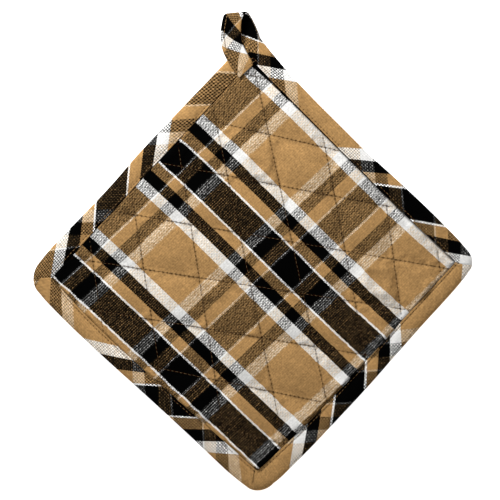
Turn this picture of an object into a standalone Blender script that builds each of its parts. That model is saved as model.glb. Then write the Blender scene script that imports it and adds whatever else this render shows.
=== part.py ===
"""Quilted square pot holder: a filled pad bound in bias strip, with the strip's tail as a hanging loop.

It lies face up on z = 0, and the corner with the loop points along +Y. Blender's units are
metres; the sizes below are millimetres, and MM turns them into metres when a mesh is made.

The pad and its binding are drawn on the flat square first, in (along, down): "along" runs from
the loop corner down the right-hand edge, "down" from the same corner down the left-hand edge.
place() then lays that square out as it was really sewn, a little out of true.
"""

import math
from bisect import bisect_right

import bmesh
import bpy
import numpy as np
from mathutils import Vector
from mathutils.geometry import delaunay_2d_cdt, interpolate_bezier

MM = 0.001

# ---- driving sizes, in millimetres ------------------------------------------------------------

SIDE = 203.2  # the square's cut side, 8 inches
HALF = SIDE / 2

# Where the straight edges would meet, measured from the pad's middle.
LOOP_CORNER = Vector((2.2, 145.1))
RIGHT_CORNER = Vector((141.8, 0.8))
FOOT_CORNER = Vector((0.0, -144.5))
LEFT_CORNER = Vector((-144.0, -1.5))

# Heights above the surface that the pad lies on.
CROWN_TOP = 7.4  # middle of a quilted cell
SEAM_TOP = 4.6  # bottom of a sewn channel, from above
SEAM_UNDER = 0.9  # the same channel, from below
LIP_TOP = 3.6  # pad's rim, pressed flat inside the binding
LIP_UNDER = 1.6

RIM_SHARE = 0.22  # the rim starts this share of the binding's width in from the outer edge
SHOULDER = 2.2  # the pad springs up over this width at the binding
SWELL_TOP = 4.0  # length over which the face rises to its full crown
SWELL_UNDER = 7.0  # length over which the underside comes down to the surface
BELLY = 1.5  # above 1, the cells' bellies rest flat

# The four edges, in order from the loop corner: right upper, right lower, left lower, left upper.
# How far the binding's outer edge lies in from the true square (minus: out of it), at stations
# along each edge: hand-sewn, it bows, draws in at the corners and flares where the tail leaves.
OUTER_STATIONS = (5, 15, 30, 55, 80, 105, 130, 155, 172, 184, 192)
OUTER_INSETS = (
    (-4.8, -3.4, -1.8, -0.4, 0.1, 0.5, -0.1, -0.4, -0.1, 0.3, 1.1),
    (1.4, 0.1, -0.4, -0.3, -0.6, -1.0, -0.7, -0.2, 0.6, 1.3, 2.6),
    (2.3, 0.7, -0.2, 0.1, 0.2, 0.1, -0.2, -0.1, 0.4, 1.1, 2.1),
    (2.7, 0.6, -0.2, 0.4, 0.6, -0.2, 0.0, 0.3, 0.6, 0.7, 0.7),
)
# The same for the binding's inner edge.
INNER_STATIONS = (15, 60, 105, 150, 188)
INNER_INSETS = (
    (9.2, 10.4, 11.5, 12.3, 11.9),
    (11.2, 11.5, 11.1, 12.2, 15.2),
    (12.9, 11.7, 10.9, 11.0, 13.6),
    (12.6, 12.4, 12.1, 12.3, 11.8),
)
# Each edge's far corner: where its curve starts on this edge and ends on the next, and how full
# it is. The loop corner is cut straight, because there the strip runs on as the tail.
CORNER_COLUMNS = ("leave", "arrive", "fullness")
CORNER_ROWS = (
    (11.0, 10.0, 0.55),
    (13.5, 13.5, 0.53),
    (13.0, 16.5, 0.55),
    (8.0, 6.5, 0.0),
)
CORNERS = [dict(zip(CORNER_COLUMNS, row)) for row in CORNER_ROWS]
INNER_TURN = 1.5  # size of the binding's inner corners
INNER_FULLNESS = 0.55
EDGE_STEPS = 14
CORNER_STEPS = 6

# The binding's section, from its inner edge over the top, round the outer edge and back inside:
# share of the width from the outer edge, height.
BINDING_SECTION = (
    (1.00, 4.6),
    (0.97, 5.0),
    (0.87, 4.8),
    (0.78, 5.2),
    (0.50, 5.6),
    (0.22, 5.3),
    (0.06, 4.4),
    (0.00, 2.9),
    (0.05, 1.1),
    (0.16, 0.2),
    (0.28, 0.0),
    (0.97, 0.0),
    (1.00, 0.3),
    (1.00, 0.9),
    (0.97, 1.2),
    (0.19, 1.2),
    (0.14, 1.9),
    (0.12, 2.9),
    (0.14, 3.6),
    (0.19, 4.0),
    (0.97, 4.0),
)

# The quilting: straight sewn lines, each given by where it crosses the pad's middle (down, at
# along = SEWN_MIDDLE) and by its slope. One family falls to the right and the other climbs.
SEWN_MIDDLE = 107.0
FALLING_LINES = (
    (-80.0, 0.79),
    (-42.0, 0.79),
    (-6.4, 0.80),
    (34.2, 0.71),
    (73.1, 0.68),
    (110.6, 0.69),
    (149.5, 0.77),
    (191.1, 0.77),
    (230.7, 0.79),
    (268.5, 0.79),
)
CLIMBING_LINES = (
    (-68.0, -0.55),
    (-34.0, -0.56),
    (2.0, -0.58),
    (34.3, -0.63),
    (72.8, -0.65),
    (109.6, -0.67),
    (146.0, -0.65),
    (180.7, -0.59),
    (209.2, -0.51),
    (240.0, -0.45),
)
CELL_STEPS = 6  # mesh steps from one sewn line to the next
CLEAR_OF_EDGE = 1.8  # mesh points keep this far from the shoulder's edge

# The loop: the strip's tail, in sections from its root at the corner, up and over the top fold,
# and back down in front to its sewn end. x, y and z of the strip's middle, the direction of its
# width in degrees from +X, and the width.
LOOP_COLUMNS = ("x", "y", "z", "across", "width")
LOOP_ROWS = (
    (3.6, 141.7, 2.6, 21.5, 13.2),
    (2.4, 146.4, 1.7, 16.0, 13.0),
    (0.7, 151.6, 1.1, 12.0, 12.6),
    (-1.3, 155.8, 1.5, 9.0, 12.8),
    (-3.4, 158.9, 3.2, 6.0, 13.4),
    (-4.9, 159.4, 5.6, 3.0, 13.6),
    (-6.5, 157.4, 7.8, 1.0, 12.4),
    (-7.7, 152.8, 8.5, 0.0, 12.2),
    (-8.3, 147.4, 8.2, 0.0, 12.8),
    (-8.2, 142.6, 7.6, 5.0, 12.8),
    (-7.1, 137.6, 7.2, 11.0, 13.4),
    (-4.7, 132.2, 7.0, 15.0, 13.4),
    (-1.5, 126.8, 6.7, 26.0, 12.8),
    (0.3, 123.2, 6.3, 41.0, 12.0),
)
STRIP_THICKNESS = 1.7
STRIP_ROUNDING = 0.5
LOOP_STEPS = 3  # mesh steps from one row to the next

# ---- finishes: linear base colour, roughness --------------------------------------------------

PAD_FINISH = ("quilted_plaid", (0.33, 0.22, 0.10), 0.9)
BINDING_FINISH = ("bias_plaid", (0.30, 0.19, 0.08), 0.9)
LOOP_FINISH = ("strip_plaid", (0.14, 0.10, 0.06), 0.9)


# ---- the flat square --------------------------------------------------------------------------


def place(along, down):
    """The point of the laid-out pad, from its middle, for a point of the flat square."""
    right = along / SIDE
    left = down / SIDE
    upper = LOOP_CORNER.lerp(RIGHT_CORNER, right)
    lower = LEFT_CORNER.lerp(FOOT_CORNER, right)
    return upper.lerp(lower, left)


def on_square(edge, run, inset):
    """A point given by how far it is along one edge and how far in from it."""
    turns = (
        (run, inset),
        (SIDE - inset, run),
        (SIDE - run, SIDE - inset),
        (inset, SIDE - run),
    )
    return Vector(turns[edge % 4])


def smooth_between(stations, values, at):
    """Value at a station on a smooth curve through a table's values."""
    span = min(max(bisect_right(stations, at) - 1, 0), len(stations) - 2)
    low, high = stations[span], stations[span + 1]
    share = (at - low) / (high - low)

    def slope(index):
        before, after = max(index - 1, 0), min(index + 1, len(stations) - 1)
        return (values[after] - values[before]) / (stations[after] - stations[before]) * (high - low)

    rise = values[span + 1] - values[span]
    bend_in = slope(span) - rise
    bend_out = rise - slope(span + 1)
    curve = share * (1 - share) * ((1 - share) * bend_in + share * bend_out)
    return values[span] + share * rise + curve


def outer_inset(edge, run):
    """How far in from the true square the binding's outer edge lies."""
    return smooth_between(OUTER_STATIONS, OUTER_INSETS[edge % 4], run)


def inner_inset(edge, run):
    """How far in from the true square the binding's inner edge lies."""
    run = min(max(run, INNER_STATIONS[0]), INNER_STATIONS[-1])
    return smooth_between(INNER_STATIONS, INNER_INSETS[edge % 4], run)


def corner_curve(start, meet, end, fullness):
    """The points of a turned corner, without its two ends."""
    leaving = start.lerp(meet, fullness)
    arriving = end.lerp(meet, fullness)
    return interpolate_bezier(start, leaving, arriving, end, CORNER_STEPS + 2)[1:-1]


def edge_stations():
    """Pairs of points on the binding's outer and inner edges, once round the pad."""
    stations = []
    for edge in range(4):
        corner = CORNERS[edge]
        outer_start = CORNERS[edge - 1]["arrive"]
        outer_end = SIDE - corner["leave"]
        inner_start = inner_inset(edge - 1, SIDE) + INNER_TURN
        far_inset = inner_inset(edge + 1, 0.0)
        inner_end = SIDE - far_inset - INNER_TURN
        for step in range(EDGE_STEPS + 1):
            share = step / EDGE_STEPS
            outer_run = outer_start + share * (outer_end - outer_start)
            inner_run = inner_start + share * (inner_end - inner_start)
            outer = on_square(edge, outer_run, outer_inset(edge, outer_run))
            inner = on_square(edge, inner_run, inner_inset(edge, inner_run))
            stations.append((outer, inner))

        outer_last, inner_last = stations[-1]
        arrive_inset = outer_inset(edge + 1, corner["arrive"])
        outer_next = on_square(edge + 1, corner["arrive"], arrive_inset)
        outer_meet = on_square(edge, SIDE - arrive_inset, outer_inset(edge, outer_end))
        inner_next = on_square(edge + 1, inner_inset(edge, SIDE) + INNER_TURN, far_inset)
        inner_meet = on_square(edge, SIDE - far_inset, inner_inset(edge, SIDE))
        outer_turn = corner_curve(outer_last, outer_meet, outer_next, corner["fullness"])
        inner_turn = corner_curve(inner_last, inner_meet, inner_next, INNER_FULLNESS)
        stations.extend(zip(outer_turn, inner_turn))
    return stations


# ---- the quilting -----------------------------------------------------------------------------


def sewn_line(lines, index):
    """Middle and slope of a sewn line, or of one between two, by its place in the table."""
    low = min(int(index), len(lines) - 2)
    share = index - low
    middle = lines[low][0] + share * (lines[low + 1][0] - lines[low][0])
    slope = lines[low][1] + share * (lines[low + 1][1] - lines[low][1])
    return middle, slope


def crossing(falling, climbing):
    """Where two lines cross, each given by its place in its table."""
    fall_middle, fall_slope = sewn_line(FALLING_LINES, falling)
    climb_middle, climb_slope = sewn_line(CLIMBING_LINES, climbing)
    along = (climb_middle - fall_middle) / (fall_slope - climb_slope)
    return Vector((SEWN_MIDDLE + along, fall_middle + fall_slope * along))


def place_in_row(lines, along, down):
    """How far a point lies between two sewn lines: 0 on one, 1 on the next."""
    above = [down - middle - slope * (along - SEWN_MIDDLE) for middle, slope in lines]
    for near, far in zip(above, above[1:]):
        if near >= 0 > far:
            return near / (near - far)
    return 0.0


def puff(along, down):
    """The filling's crown inside a cell: 0 on the sewn lines, 1 in the cell's middle."""
    across_fall = math.sin(math.pi * place_in_row(FALLING_LINES, along, down))
    across_climb = math.sin(math.pi * place_in_row(CLIMBING_LINES, along, down))
    return math.sqrt(max(0.0, across_fall * across_climb))


def depth_inside(points, outline):
    """How far inside a closed outline each point lies, minus outside it."""
    points = np.array(points)
    start = np.array(outline)
    end = np.roll(start, -1, axis=0)
    way = end - start
    reach = points[:, None, :] - start[None, :, :]
    share = np.clip((reach * way).sum(axis=2) / (way * way).sum(axis=1), 0, 1)
    gap = np.linalg.norm(reach - share[:, :, None] * way, axis=2).min(axis=1)
    spans = (start[:, 1] > points[:, None, 1]) != (end[:, 1] > points[:, None, 1])
    rise = np.where(way[:, 1] == 0, 1.0, way[:, 1])
    hit = start[:, 0] + (points[:, None, 1] - start[:, 1]) * way[:, 0] / rise
    inside = (spans & (points[:, None, 0] < hit)).sum(axis=1) % 2 == 1
    return np.where(inside, gap, -gap)


def pad_heights(along, down, depth):
    """Under and top height of the pad, depth being how far inside the binding's edge it is."""
    if depth <= 0:
        return LIP_UNDER, LIP_TOP
    crown = puff(along, down)
    swell = 1 - math.exp(-depth / SWELL_TOP)
    top = LIP_TOP + swell * (SEAM_TOP + (CROWN_TOP - SEAM_TOP) * crown - LIP_TOP)
    seam_under = SEAM_UNDER * (1 - min(1.0, BELLY * crown))
    settle = min(1.0, depth / SWELL_UNDER)
    return LIP_UNDER + settle * (seam_under - LIP_UNDER), top


def pad_layout(stations):
    """The pad's flat mesh: points and triangles whose edges follow the rim and the sewn lines."""
    rim = [outer.lerp(inner, RIM_SHARE) for outer, inner in stations]
    opening = [inner for _, inner in stations]
    middle = Vector((HALF, HALF))
    shoulder = [point + (middle - point).normalized() * SHOULDER for point in opening]
    points = rim + opening + shoulder
    count = len(stations)
    edges = []
    for first in (0, count, 2 * count):
        edges += [(first + step, first + (step + 1) % count) for step in range(count)]

    lattice = {}
    last_fall = (len(FALLING_LINES) - 1) * CELL_STEPS
    last_climb = (len(CLIMBING_LINES) - 1) * CELL_STEPS
    keys = [(fall, climb) for fall in range(last_fall + 1) for climb in range(last_climb + 1)]
    spots = [crossing(fall / CELL_STEPS, climb / CELL_STEPS) for fall, climb in keys]
    for key, spot, depth in zip(keys, spots, depth_inside(spots, shoulder)):
        if depth > CLEAR_OF_EDGE:
            lattice[key] = len(points)
            points.append(spot)
    for (fall, climb), index in lattice.items():
        if fall % CELL_STEPS == 0 and (fall, climb + 1) in lattice:
            edges.append((index, lattice[fall, climb + 1]))
        if climb % CELL_STEPS == 0 and (fall + 1, climb) in lattice:
            edges.append((index, lattice[fall + 1, climb]))

    inside_only = 1
    laid, _, triangles, _, _, _ = delaunay_2d_cdt(
        points, edges, [list(range(count))], inside_only, 1e-4
    )
    return laid, triangles, opening


# ---- meshes and objects -----------------------------------------------------------------------


def make_material(finish):
    name, colour, roughness = finish
    material = bpy.data.materials.new(name)
    material.use_nodes = True
    shader = material.node_tree.nodes["Principled BSDF"]
    shader.inputs["Base Color"].default_value = (*colour, 1.0)
    shader.inputs["Roughness"].default_value = roughness
    shader.inputs["Metallic"].default_value = 0.0
    return material


def finish_object(name, working_mesh, finish, collection, holder):
    """Turns a bmesh in millimetres into a named object on the holder."""
    bmesh.ops.recalc_face_normals(working_mesh, faces=working_mesh.faces)
    bmesh.ops.scale(working_mesh, vec=(MM, MM, MM), verts=working_mesh.verts)
    mesh = bpy.data.meshes.new(name)
    working_mesh.to_mesh(mesh)
    working_mesh.free()
    mesh.shade_smooth()
    mesh.materials.append(make_material(finish))
    part = bpy.data.objects.new(name, mesh)
    part.parent = holder
    collection.objects.link(part)
    return part


def loft(sections, closed):
    """A skin through like sections of points, closed on itself or capped at both ends."""
    skin = bmesh.new()
    rings = [[skin.verts.new(point) for point in section] for section in sections]
    followers = rings[1:] + rings[:1] if closed else rings[1:]
    for ring, follower in zip(rings, followers):
        for index in range(len(ring)):
            after = (index + 1) % len(ring)
            skin.faces.new((ring[index], ring[after], follower[after], follower[index]))
    if not closed:
        skin.faces.new(rings[0])
        skin.faces.new(rings[-1])
    return skin


def build_pad(stations, collection, holder):
    """The filled pad: one flat sheet, doubled, with the crowns and channels in its points."""
    laid, triangles, opening = pad_layout(stations)
    pad = bmesh.new()
    under = [pad.verts.new((point.x, point.y, 0.0)) for point in laid]
    for triangle in triangles:
        pad.faces.new([under[index] for index in triangle])
    doubled = bmesh.ops.extrude_face_region(pad, geom=pad.faces[:])["geom"]
    upper = {item for item in doubled if isinstance(item, bmesh.types.BMVert)}
    depths = depth_inside([vert.co.xy for vert in pad.verts], opening)
    for vert, depth in zip(pad.verts, depths):
        along, down = vert.co.xy
        heights = pad_heights(along, down, depth)
        vert.co = (*place(along, down), heights[vert in upper])
    return finish_object("quilted_pad", pad, PAD_FINISH, collection, holder)


def build_binding(stations, collection, holder):
    """The bias strip folded over the pad's rim, all the way round."""
    sections = []
    for outer, inner in stations:
        points = [(outer.lerp(inner, share), height) for share, height in BINDING_SECTION]
        sections.append([(*place(*point), height) for point, height in points])
    binding = loft(sections, closed=True)
    return finish_object("edge_binding", binding, BINDING_FINISH, collection, holder)


def loop_frames():
    """Middle, width vector and width of the loop's strip, at even steps along its table."""
    stations = range(len(LOOP_ROWS))
    columns = {name: [row[index] for row in LOOP_ROWS] for index, name in enumerate(LOOP_COLUMNS)}
    frames = []
    for step in range((len(LOOP_ROWS) - 1) * LOOP_STEPS + 1):
        at = step / LOOP_STEPS
        values = {name: smooth_between(stations, column, at) for name, column in columns.items()}
        middle = Vector((values["x"], values["y"], values["z"]))
        turn = math.radians(values["across"])
        across = Vector((math.cos(turn), math.sin(turn), 0.0))
        frames.append((middle, across, values["width"]))
    return frames


def build_loop(collection, holder):
    """The strip's tail, turned over at the top and sewn down in front."""
    frames = loop_frames()
    half_thick = STRIP_THICKNESS / 2
    sections = []
    for index, (middle, across, width) in enumerate(frames):
        before = frames[max(index - 1, 0)][0]
        after = frames[min(index + 1, len(frames) - 1)][0]
        up = across.cross(after - before).normalized()
        half = width / 2
        flat = half - STRIP_ROUNDING
        side = half_thick - STRIP_ROUNDING
        outline = (
            (-half, -side),
            (-flat, -half_thick),
            (flat, -half_thick),
            (half, -side),
            (half, side),
            (flat, half_thick),
            (-flat, half_thick),
            (-half, side),
        )
        sections.append([middle + across * reach + up * rise for reach, rise in outline])
    strip = loft(sections, closed=False)
    return finish_object("hanging_loop", strip, LOOP_FINISH, collection, holder)


def stand_on_origin(holder, parts):
    """Moves the holder so that the middle of the whole part is over the origin."""
    corners = [Vector(corner) for part in parts for corner in part.bound_box]
    for axis in (0, 1):
        reach = [corner[axis] for corner in corners]
        holder.location[axis] = -(min(reach) + max(reach)) / 2


def clear_scene():
    for old in list(bpy.data.objects):
        bpy.data.objects.remove(old, do_unlink=True)


def main():
    clear_scene()
    collection = bpy.data.collections.new("pot_holder")
    bpy.context.scene.collection.children.link(collection)
    holder = bpy.data.objects.new("pot_holder_origin", None)
    collection.objects.link(holder)

    stations = edge_stations()
    parts = [
        build_pad(stations, collection, holder),
        build_binding(stations, collection, holder),
        build_loop(collection, holder),
    ]
    stand_on_origin(holder, parts)


main()
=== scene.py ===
"""Looks of the quilted plaid pot holder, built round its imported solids.

Sizes are millimetres in the solids' frame until a mesh is made, when MM turns them into metres.
The pad and its binding are worked out on the flat square, in (along, down): "along" runs from the
loop corner down the right-hand edge and "down" from the same corner down the left-hand edge.
FlatSquare.lay() then lays that square out as it was sewn, a little out of true.

The plaid is one cloth. Every piece carries a UV map, "cloth", that says where on the cloth each
of its points was cut, in yarns: U counts the yarns of one set of bands and V those of the
other. A shader group turns that place into yarns, bands and weave.
"""

import logging
import math
from bisect import bisect_right
from dataclasses import dataclass
from enum import Enum
from typing import Any, Sequence

import bmesh
import bpy
import numpy as np
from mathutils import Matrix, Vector
from mathutils.geometry import delaunay_2d_cdt, interpolate_bezier


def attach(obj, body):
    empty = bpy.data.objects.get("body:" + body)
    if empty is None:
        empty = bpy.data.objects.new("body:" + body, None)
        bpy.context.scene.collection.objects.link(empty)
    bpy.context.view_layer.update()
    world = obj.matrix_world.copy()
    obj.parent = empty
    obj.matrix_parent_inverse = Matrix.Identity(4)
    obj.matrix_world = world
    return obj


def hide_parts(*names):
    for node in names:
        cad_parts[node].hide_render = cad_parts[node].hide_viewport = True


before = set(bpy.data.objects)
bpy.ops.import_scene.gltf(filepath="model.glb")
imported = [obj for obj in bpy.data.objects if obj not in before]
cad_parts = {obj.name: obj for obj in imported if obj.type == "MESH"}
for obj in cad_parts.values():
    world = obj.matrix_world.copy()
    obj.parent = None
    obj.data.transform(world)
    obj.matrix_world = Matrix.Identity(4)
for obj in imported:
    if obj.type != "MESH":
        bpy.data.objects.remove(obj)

MM = 0.001
LOG = logging.getLogger("pot_holder")

Array = np.ndarray
Socket = bpy.types.NodeSocket


# ---- the flat square ----


def curve_through(stations: Sequence[float], values: Sequence[float], at: float) -> float:
    """Value of a smooth curve through a table.

    Args:
        stations: where the table's values stand, rising.
        values: one value for each station.
        at: the station that is asked for.

    Returns:
        The curve's value there.
    """
    span = min(max(bisect_right(stations, at) - 1, 0), len(stations) - 2)
    low, high = stations[span], stations[span + 1]
    share = (at - low) / (high - low)

    def slope(index: int) -> float:
        """The curve's slope at a station, for the length of this span."""
        before, after = max(index - 1, 0), min(index + 1, len(stations) - 1)
        rise = values[after] - values[before]
        return rise / (stations[after] - stations[before]) * (high - low)

    rise = values[span + 1] - values[span]
    bend_in, bend_out = slope(span) - rise, rise - slope(span + 1)
    curve = share * (1 - share) * ((1 - share) * bend_in + share * bend_out)
    return values[span] + share * rise + curve


@dataclass(frozen=True)
class Corner:
    """How the binding turns at one corner.

    Attributes:
        leave: length of the old edge that the turn takes.
        arrive: length of the new edge that the turn takes.
        fullness: how far out the curve swings towards the square's own corner.
    """

    leave: float
    arrive: float
    fullness: float


@dataclass(frozen=True)
class FlatSquare:
    """The pad's square, flat and as it is laid out.

    The four edges are counted from the loop corner: right upper, right lower, left lower and
    left upper. outer_insets and inner_insets say how far in from the true square the binding's
    two edges lie, at the stations along each edge. corners say how the outer edge turns, and
    inner_turn and inner_fullness how the inner edge does. shift moves the whole into the frame.
    """

    side: float = 203.2
    shift: tuple[float, float] = (0.013, -11.783)
    loop_corner: tuple[float, float] = (2.2, 145.1)
    right_corner: tuple[float, float] = (141.8, 0.8)
    foot_corner: tuple[float, float] = (0.0, -144.5)
    left_corner: tuple[float, float] = (-144.0, -1.5)
    outer_stations: tuple[float, ...] = (5, 15, 30, 55, 80, 105, 130, 155, 172, 184, 192)
    outer_insets: tuple[tuple[float, ...], ...] = (
        (-4.8, -3.4, -1.8, -0.4, 0.1, 0.5, -0.1, -0.4, -0.1, 0.3, 1.1),
        (1.4, 0.1, -0.4, -0.3, -0.6, -1.0, -0.7, -0.2, 0.6, 1.3, 2.6),
        (2.3, 0.7, -0.2, 0.1, 0.2, 0.1, -0.2, -0.1, 0.4, 1.1, 2.1),
        (2.7, 0.6, -0.2, 0.4, 0.6, -0.2, 0.0, 0.3, 0.6, 0.7, 0.7),
    )
    inner_stations: tuple[float, ...] = (15, 60, 105, 150, 188)
    inner_insets: tuple[tuple[float, ...], ...] = (
        (9.2, 10.4, 11.5, 12.3, 11.9),
        (11.2, 11.5, 11.1, 12.2, 15.2),
        (12.9, 11.7, 10.9, 11.0, 13.6),
        (12.6, 12.4, 12.1, 12.3, 11.8),
    )
    corners: tuple[Corner, ...] = (
        Corner(11.0, 10.0, 0.55),
        Corner(13.5, 13.5, 0.53),
        Corner(13.0, 16.5, 0.55),
        Corner(8.0, 6.5, 0.0),
    )
    inner_turn: float = 1.5
    inner_fullness: float = 0.55

    def lay(self, flat: Array) -> Array:
        """Lays flat points out as the pad lies.

        Args:
            flat: rows of (along, down).

        Returns:
            Rows of (x, y) in the solids' frame, still in millimetres.
        """
        return self._carry(self._grid(), flat) + np.array(self.shift)

    def flatten(self, laid: Array) -> Array:
        """Rows of (along, down) for rows of (x, y): lay() turned round."""
        return self._carry(np.linalg.inv(self._grid()), laid - np.array(self.shift))

    def _grid(self) -> Array:
        """The 3 by 3 map that takes the square's four corners to where they lie.

        Returns:
            The map.
        """
        side, rows, goals = self.side, [], []
        flat = ((0.0, 0.0), (side, 0.0), (side, side), (0.0, side))
        laid = (self.loop_corner, self.right_corner, self.foot_corner, self.left_corner)
        for (along, down), (x, y) in zip(flat, laid):
            rows.append((along, down, 1.0, 0.0, 0.0, 0.0, -x * along, -x * down))
            rows.append((0.0, 0.0, 0.0, along, down, 1.0, -y * along, -y * down))
            goals += [x, y]
        return np.append(np.linalg.solve(np.array(rows), np.array(goals)), 1.0).reshape(3, 3)

    def _carry(self, grid: Array, points: Array) -> Array:
        """Rows of two numbers taken through a 3 by 3 map, straight lines to straight lines."""
        spread = np.column_stack([points, np.ones(len(points))]) @ grid.T
        return spread[:, :2] / spread[:, 2:]

    def on_edge(self, edge: int, run: float, inset: float) -> tuple[float, float]:
        """The flat point that is that far along an edge and that far in from it.

        Args:
            edge: the edge's number; 4 is the first edge again.
            run: how far along it.
            inset: how far in from it.

        Returns:
            The point's (along, down).
        """
        side = self.side
        return (
            (run, inset),
            (side - inset, run),
            (side - run, side - inset),
            (inset, side - run),
        )[edge % 4]

    def from_edge(self, edge: int, flat: Array) -> tuple[Array, Array]:
        """How far along an edge flat points are, and how far in from it.

        Args:
            edge: the edge's number; 4 is the first edge again.
            flat: rows of (along, down).

        Returns:
            Each point's run along the edge, and its inset from it.
        """
        along, down, side = flat[:, 0], flat[:, 1], self.side
        return (
            (along, down),
            (down, side - along),
            (side - along, side - down),
            (side - down, along),
        )[edge % 4]

    def outer_inset(self, edge: int, run: float) -> float:
        """How far in from the true square the binding's outer edge lies."""
        return curve_through(self.outer_stations, self.outer_insets[edge % 4], run)

    def inner_inset(self, edge: int, run: float) -> float:
        """How far in from the true square the binding's inner edge lies."""
        run = min(max(run, self.inner_stations[0]), self.inner_stations[-1])
        return curve_through(self.inner_stations, self.inner_insets[edge % 4], run)

    def _turn(
        self, edge: int, leave: Sequence[float], arrive: Sequence[float], fullness: float, steps: int
    ) -> list[tuple[float, ...]]:
        """Points of a turned corner, without its two ends.

        Args:
            edge: the edge that ends there.
            leave: (run, inset) on that edge, where the turn starts.
            arrive: (run, inset) on the next edge, where it ends.
            fullness: how far out the curve swings towards the point where both edges meet.
            steps: how many points.

        Returns:
            Flat points.
        """
        meet = (self.side - arrive[1], leave[1])
        places = ((edge, *leave), (edge, *meet), (edge + 1, *arrive))
        first, middle, last = (Vector(self.on_edge(*place)) for place in places)
        leaving, arriving = first.lerp(middle, fullness), last.lerp(middle, fullness)
        curve = interpolate_bezier(first, leaving, arriving, last, steps + 2)
        return [tuple(point[:2]) for point in curve[1:-1]]

    def ring(self, edge_steps: int, corner_steps: int) -> tuple[Array, Array, Array]:
        """Stations once round the binding.

        Args:
            edge_steps: mesh steps along each edge.
            corner_steps: mesh steps round each corner.

        Returns:
            Flat points of the outer edge and of the inner edge, and each station's edge.
        """
        outer, inner, edges = [], [], []
        for edge in range(4):
            corner, before = self.corners[edge], self.corners[edge - 1]
            near, far = self.inner_inset(edge, self.side), self.inner_inset(edge + 1, 0.0)
            inner_start = self.inner_inset(edge - 1, self.side) + self.inner_turn
            outer_end, inner_end = self.side - corner.leave, self.side - far - self.inner_turn
            for share in np.linspace(0, 1, edge_steps + 1):
                run = before.arrive + share * (outer_end - before.arrive)
                outer.append(self.on_edge(edge, run, self.outer_inset(edge, run)))
                run = inner_start + share * (inner_end - inner_start)
                inner.append(self.on_edge(edge, run, self.inner_inset(edge, run)))
            leave = (outer_end, self.outer_inset(edge, outer_end))
            arrive = (corner.arrive, self.outer_inset(edge + 1, corner.arrive))
            outer += self._turn(edge, leave, arrive, corner.fullness, corner_steps)
            leave, arrive = (inner_end, near), (near + self.inner_turn, far)
            inner += self._turn(edge, leave, arrive, self.inner_fullness, corner_steps)
            edges += [edge] * (edge_steps + 1 + corner_steps)
        return np.array(outer), np.array(inner), np.array(edges)


# ---- the plaid ----


class Yarn(Enum):
    """The cloth's yarns: colour in soft light, and how much they hide, across and down."""

    BLACK = ((0.002, 0.002, 0.001), 1.05, 1.2)
    TAN = ((0.670, 0.522, 0.334), 0.80, 0.80)
    WHITE = ((0.910, 0.906, 0.895), 0.85, 1.12)
    FINE_WHITE = ((0.935, 0.932, 0.925), 0.8, 2.1)

    @property
    def looks(self) -> tuple[float, float, float]:
        """Colour on a display, from 0 to 1."""
        return self.value[0]

    def cover(self, down: bool) -> float:
        """How much the yarn hides of those that it crosses, by the way that it runs."""
        return self.value[2] if down else self.value[1]


@dataclass(frozen=True)
class Sett:
    """The plaid's repeat one way of the cloth: its bands in order, with their numbers of yarns."""

    counts: tuple[int, ...]
    bands: tuple[Yarn, ...] = (
        Yarn.TAN, Yarn.WHITE, Yarn.BLACK, Yarn.TAN, Yarn.FINE_WHITE,
        Yarn.BLACK, Yarn.FINE_WHITE, Yarn.TAN, Yarn.BLACK, Yarn.WHITE,
    )

    @property
    def repeat(self) -> int:
        """Yarns in one repeat."""
        return sum(self.counts)

    def end_of(self, band: int) -> int:
        """Yarns before a band's end; bands are numbered on over the repeats, both ways."""
        whole, index = divmod(band, len(self.counts))
        return whole * self.repeat + sum(self.counts[: index + 1])


SETT = Sett((50, 10, 10, 10, 2, 24, 2, 10, 10, 10))
FACE_RATE = 1.4  # yarns for one millimetre of the face, past its charts' ends
BIAS_RATE = 0.9  # the same along the edge of a bias strip
CHART_DEPTH = 5.0  # how far in from a bias strip's outer edge its charts were measured


@dataclass(frozen=True)
class BandChart:
    """Where the bands fall on one piece, as measured along it.

    Attributes:
        first: number in the sett of the band that ends at the first place.
        ends: where that band and those after it end, in millimetres along the piece.
        leans: on a bias strip, how far each end runs along it for each mm inwards.
        rate: yarns for one millimetre, outside the chart.
    """

    first: int
    ends: tuple[float, ...]
    leans: tuple[float, ...] = ()
    rate: float = FACE_RATE

    def cloth_at(self, places: Array) -> Array:
        """Where on the cloth, in yarns, these places of the piece were cut.

        Args:
            places: how far along the piece each point is.

        Returns:
            Places on the cloth, in yarns.
        """
        cloth = [SETT.end_of(self.first + index) for index in range(len(self.ends))]
        low = (places - self.ends[0]) * self.rate + cloth[0]
        high = (places - self.ends[-1]) * self.rate + cloth[-1]
        inside = np.interp(places, self.ends, cloth)
        return np.where(places < self.ends[0], low, np.where(places > self.ends[-1], high, inside))

    def cloth_across(self, run: Array, inward: Array, way: float) -> Array:
        """The same for a bias strip, whose bands cross it slantwise.

        Args:
            run: how far along the strip each point is.
            inward: how far in from the strip's outer edge it is.
            way: 1 for bands that run back along the strip on their way in, -1 for the others.

        Returns:
            Places on the cloth, in yarns.
        """
        places, passes = run, 4
        for _ in range(passes):
            lean = np.interp(places, self.ends, self.leans)
            places = run + way * lean * (inward - CHART_DEPTH)
        return self.cloth_at(places)


@dataclass(frozen=True)
class BiasStrip:
    """How the plaid lies on one strip cut on the bias: both sets of bands cross it slantwise.

    Attributes:
        rising: chart of the bands that lean forward, the ones that show most.
        falling: chart of the bands that lean back.
    """

    rising: BandChart
    falling: BandChart

    def cloth_at(self, run: Array, inward: Array) -> Array:
        """Rows of (U, V) for points of the strip: how far along it and how far in they are."""
        down = self.rising.cloth_across(run, inward, 1.0)
        across = self.falling.cloth_across(run, inward, -1.0)
        return np.stack([across, down], axis=1)


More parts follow.
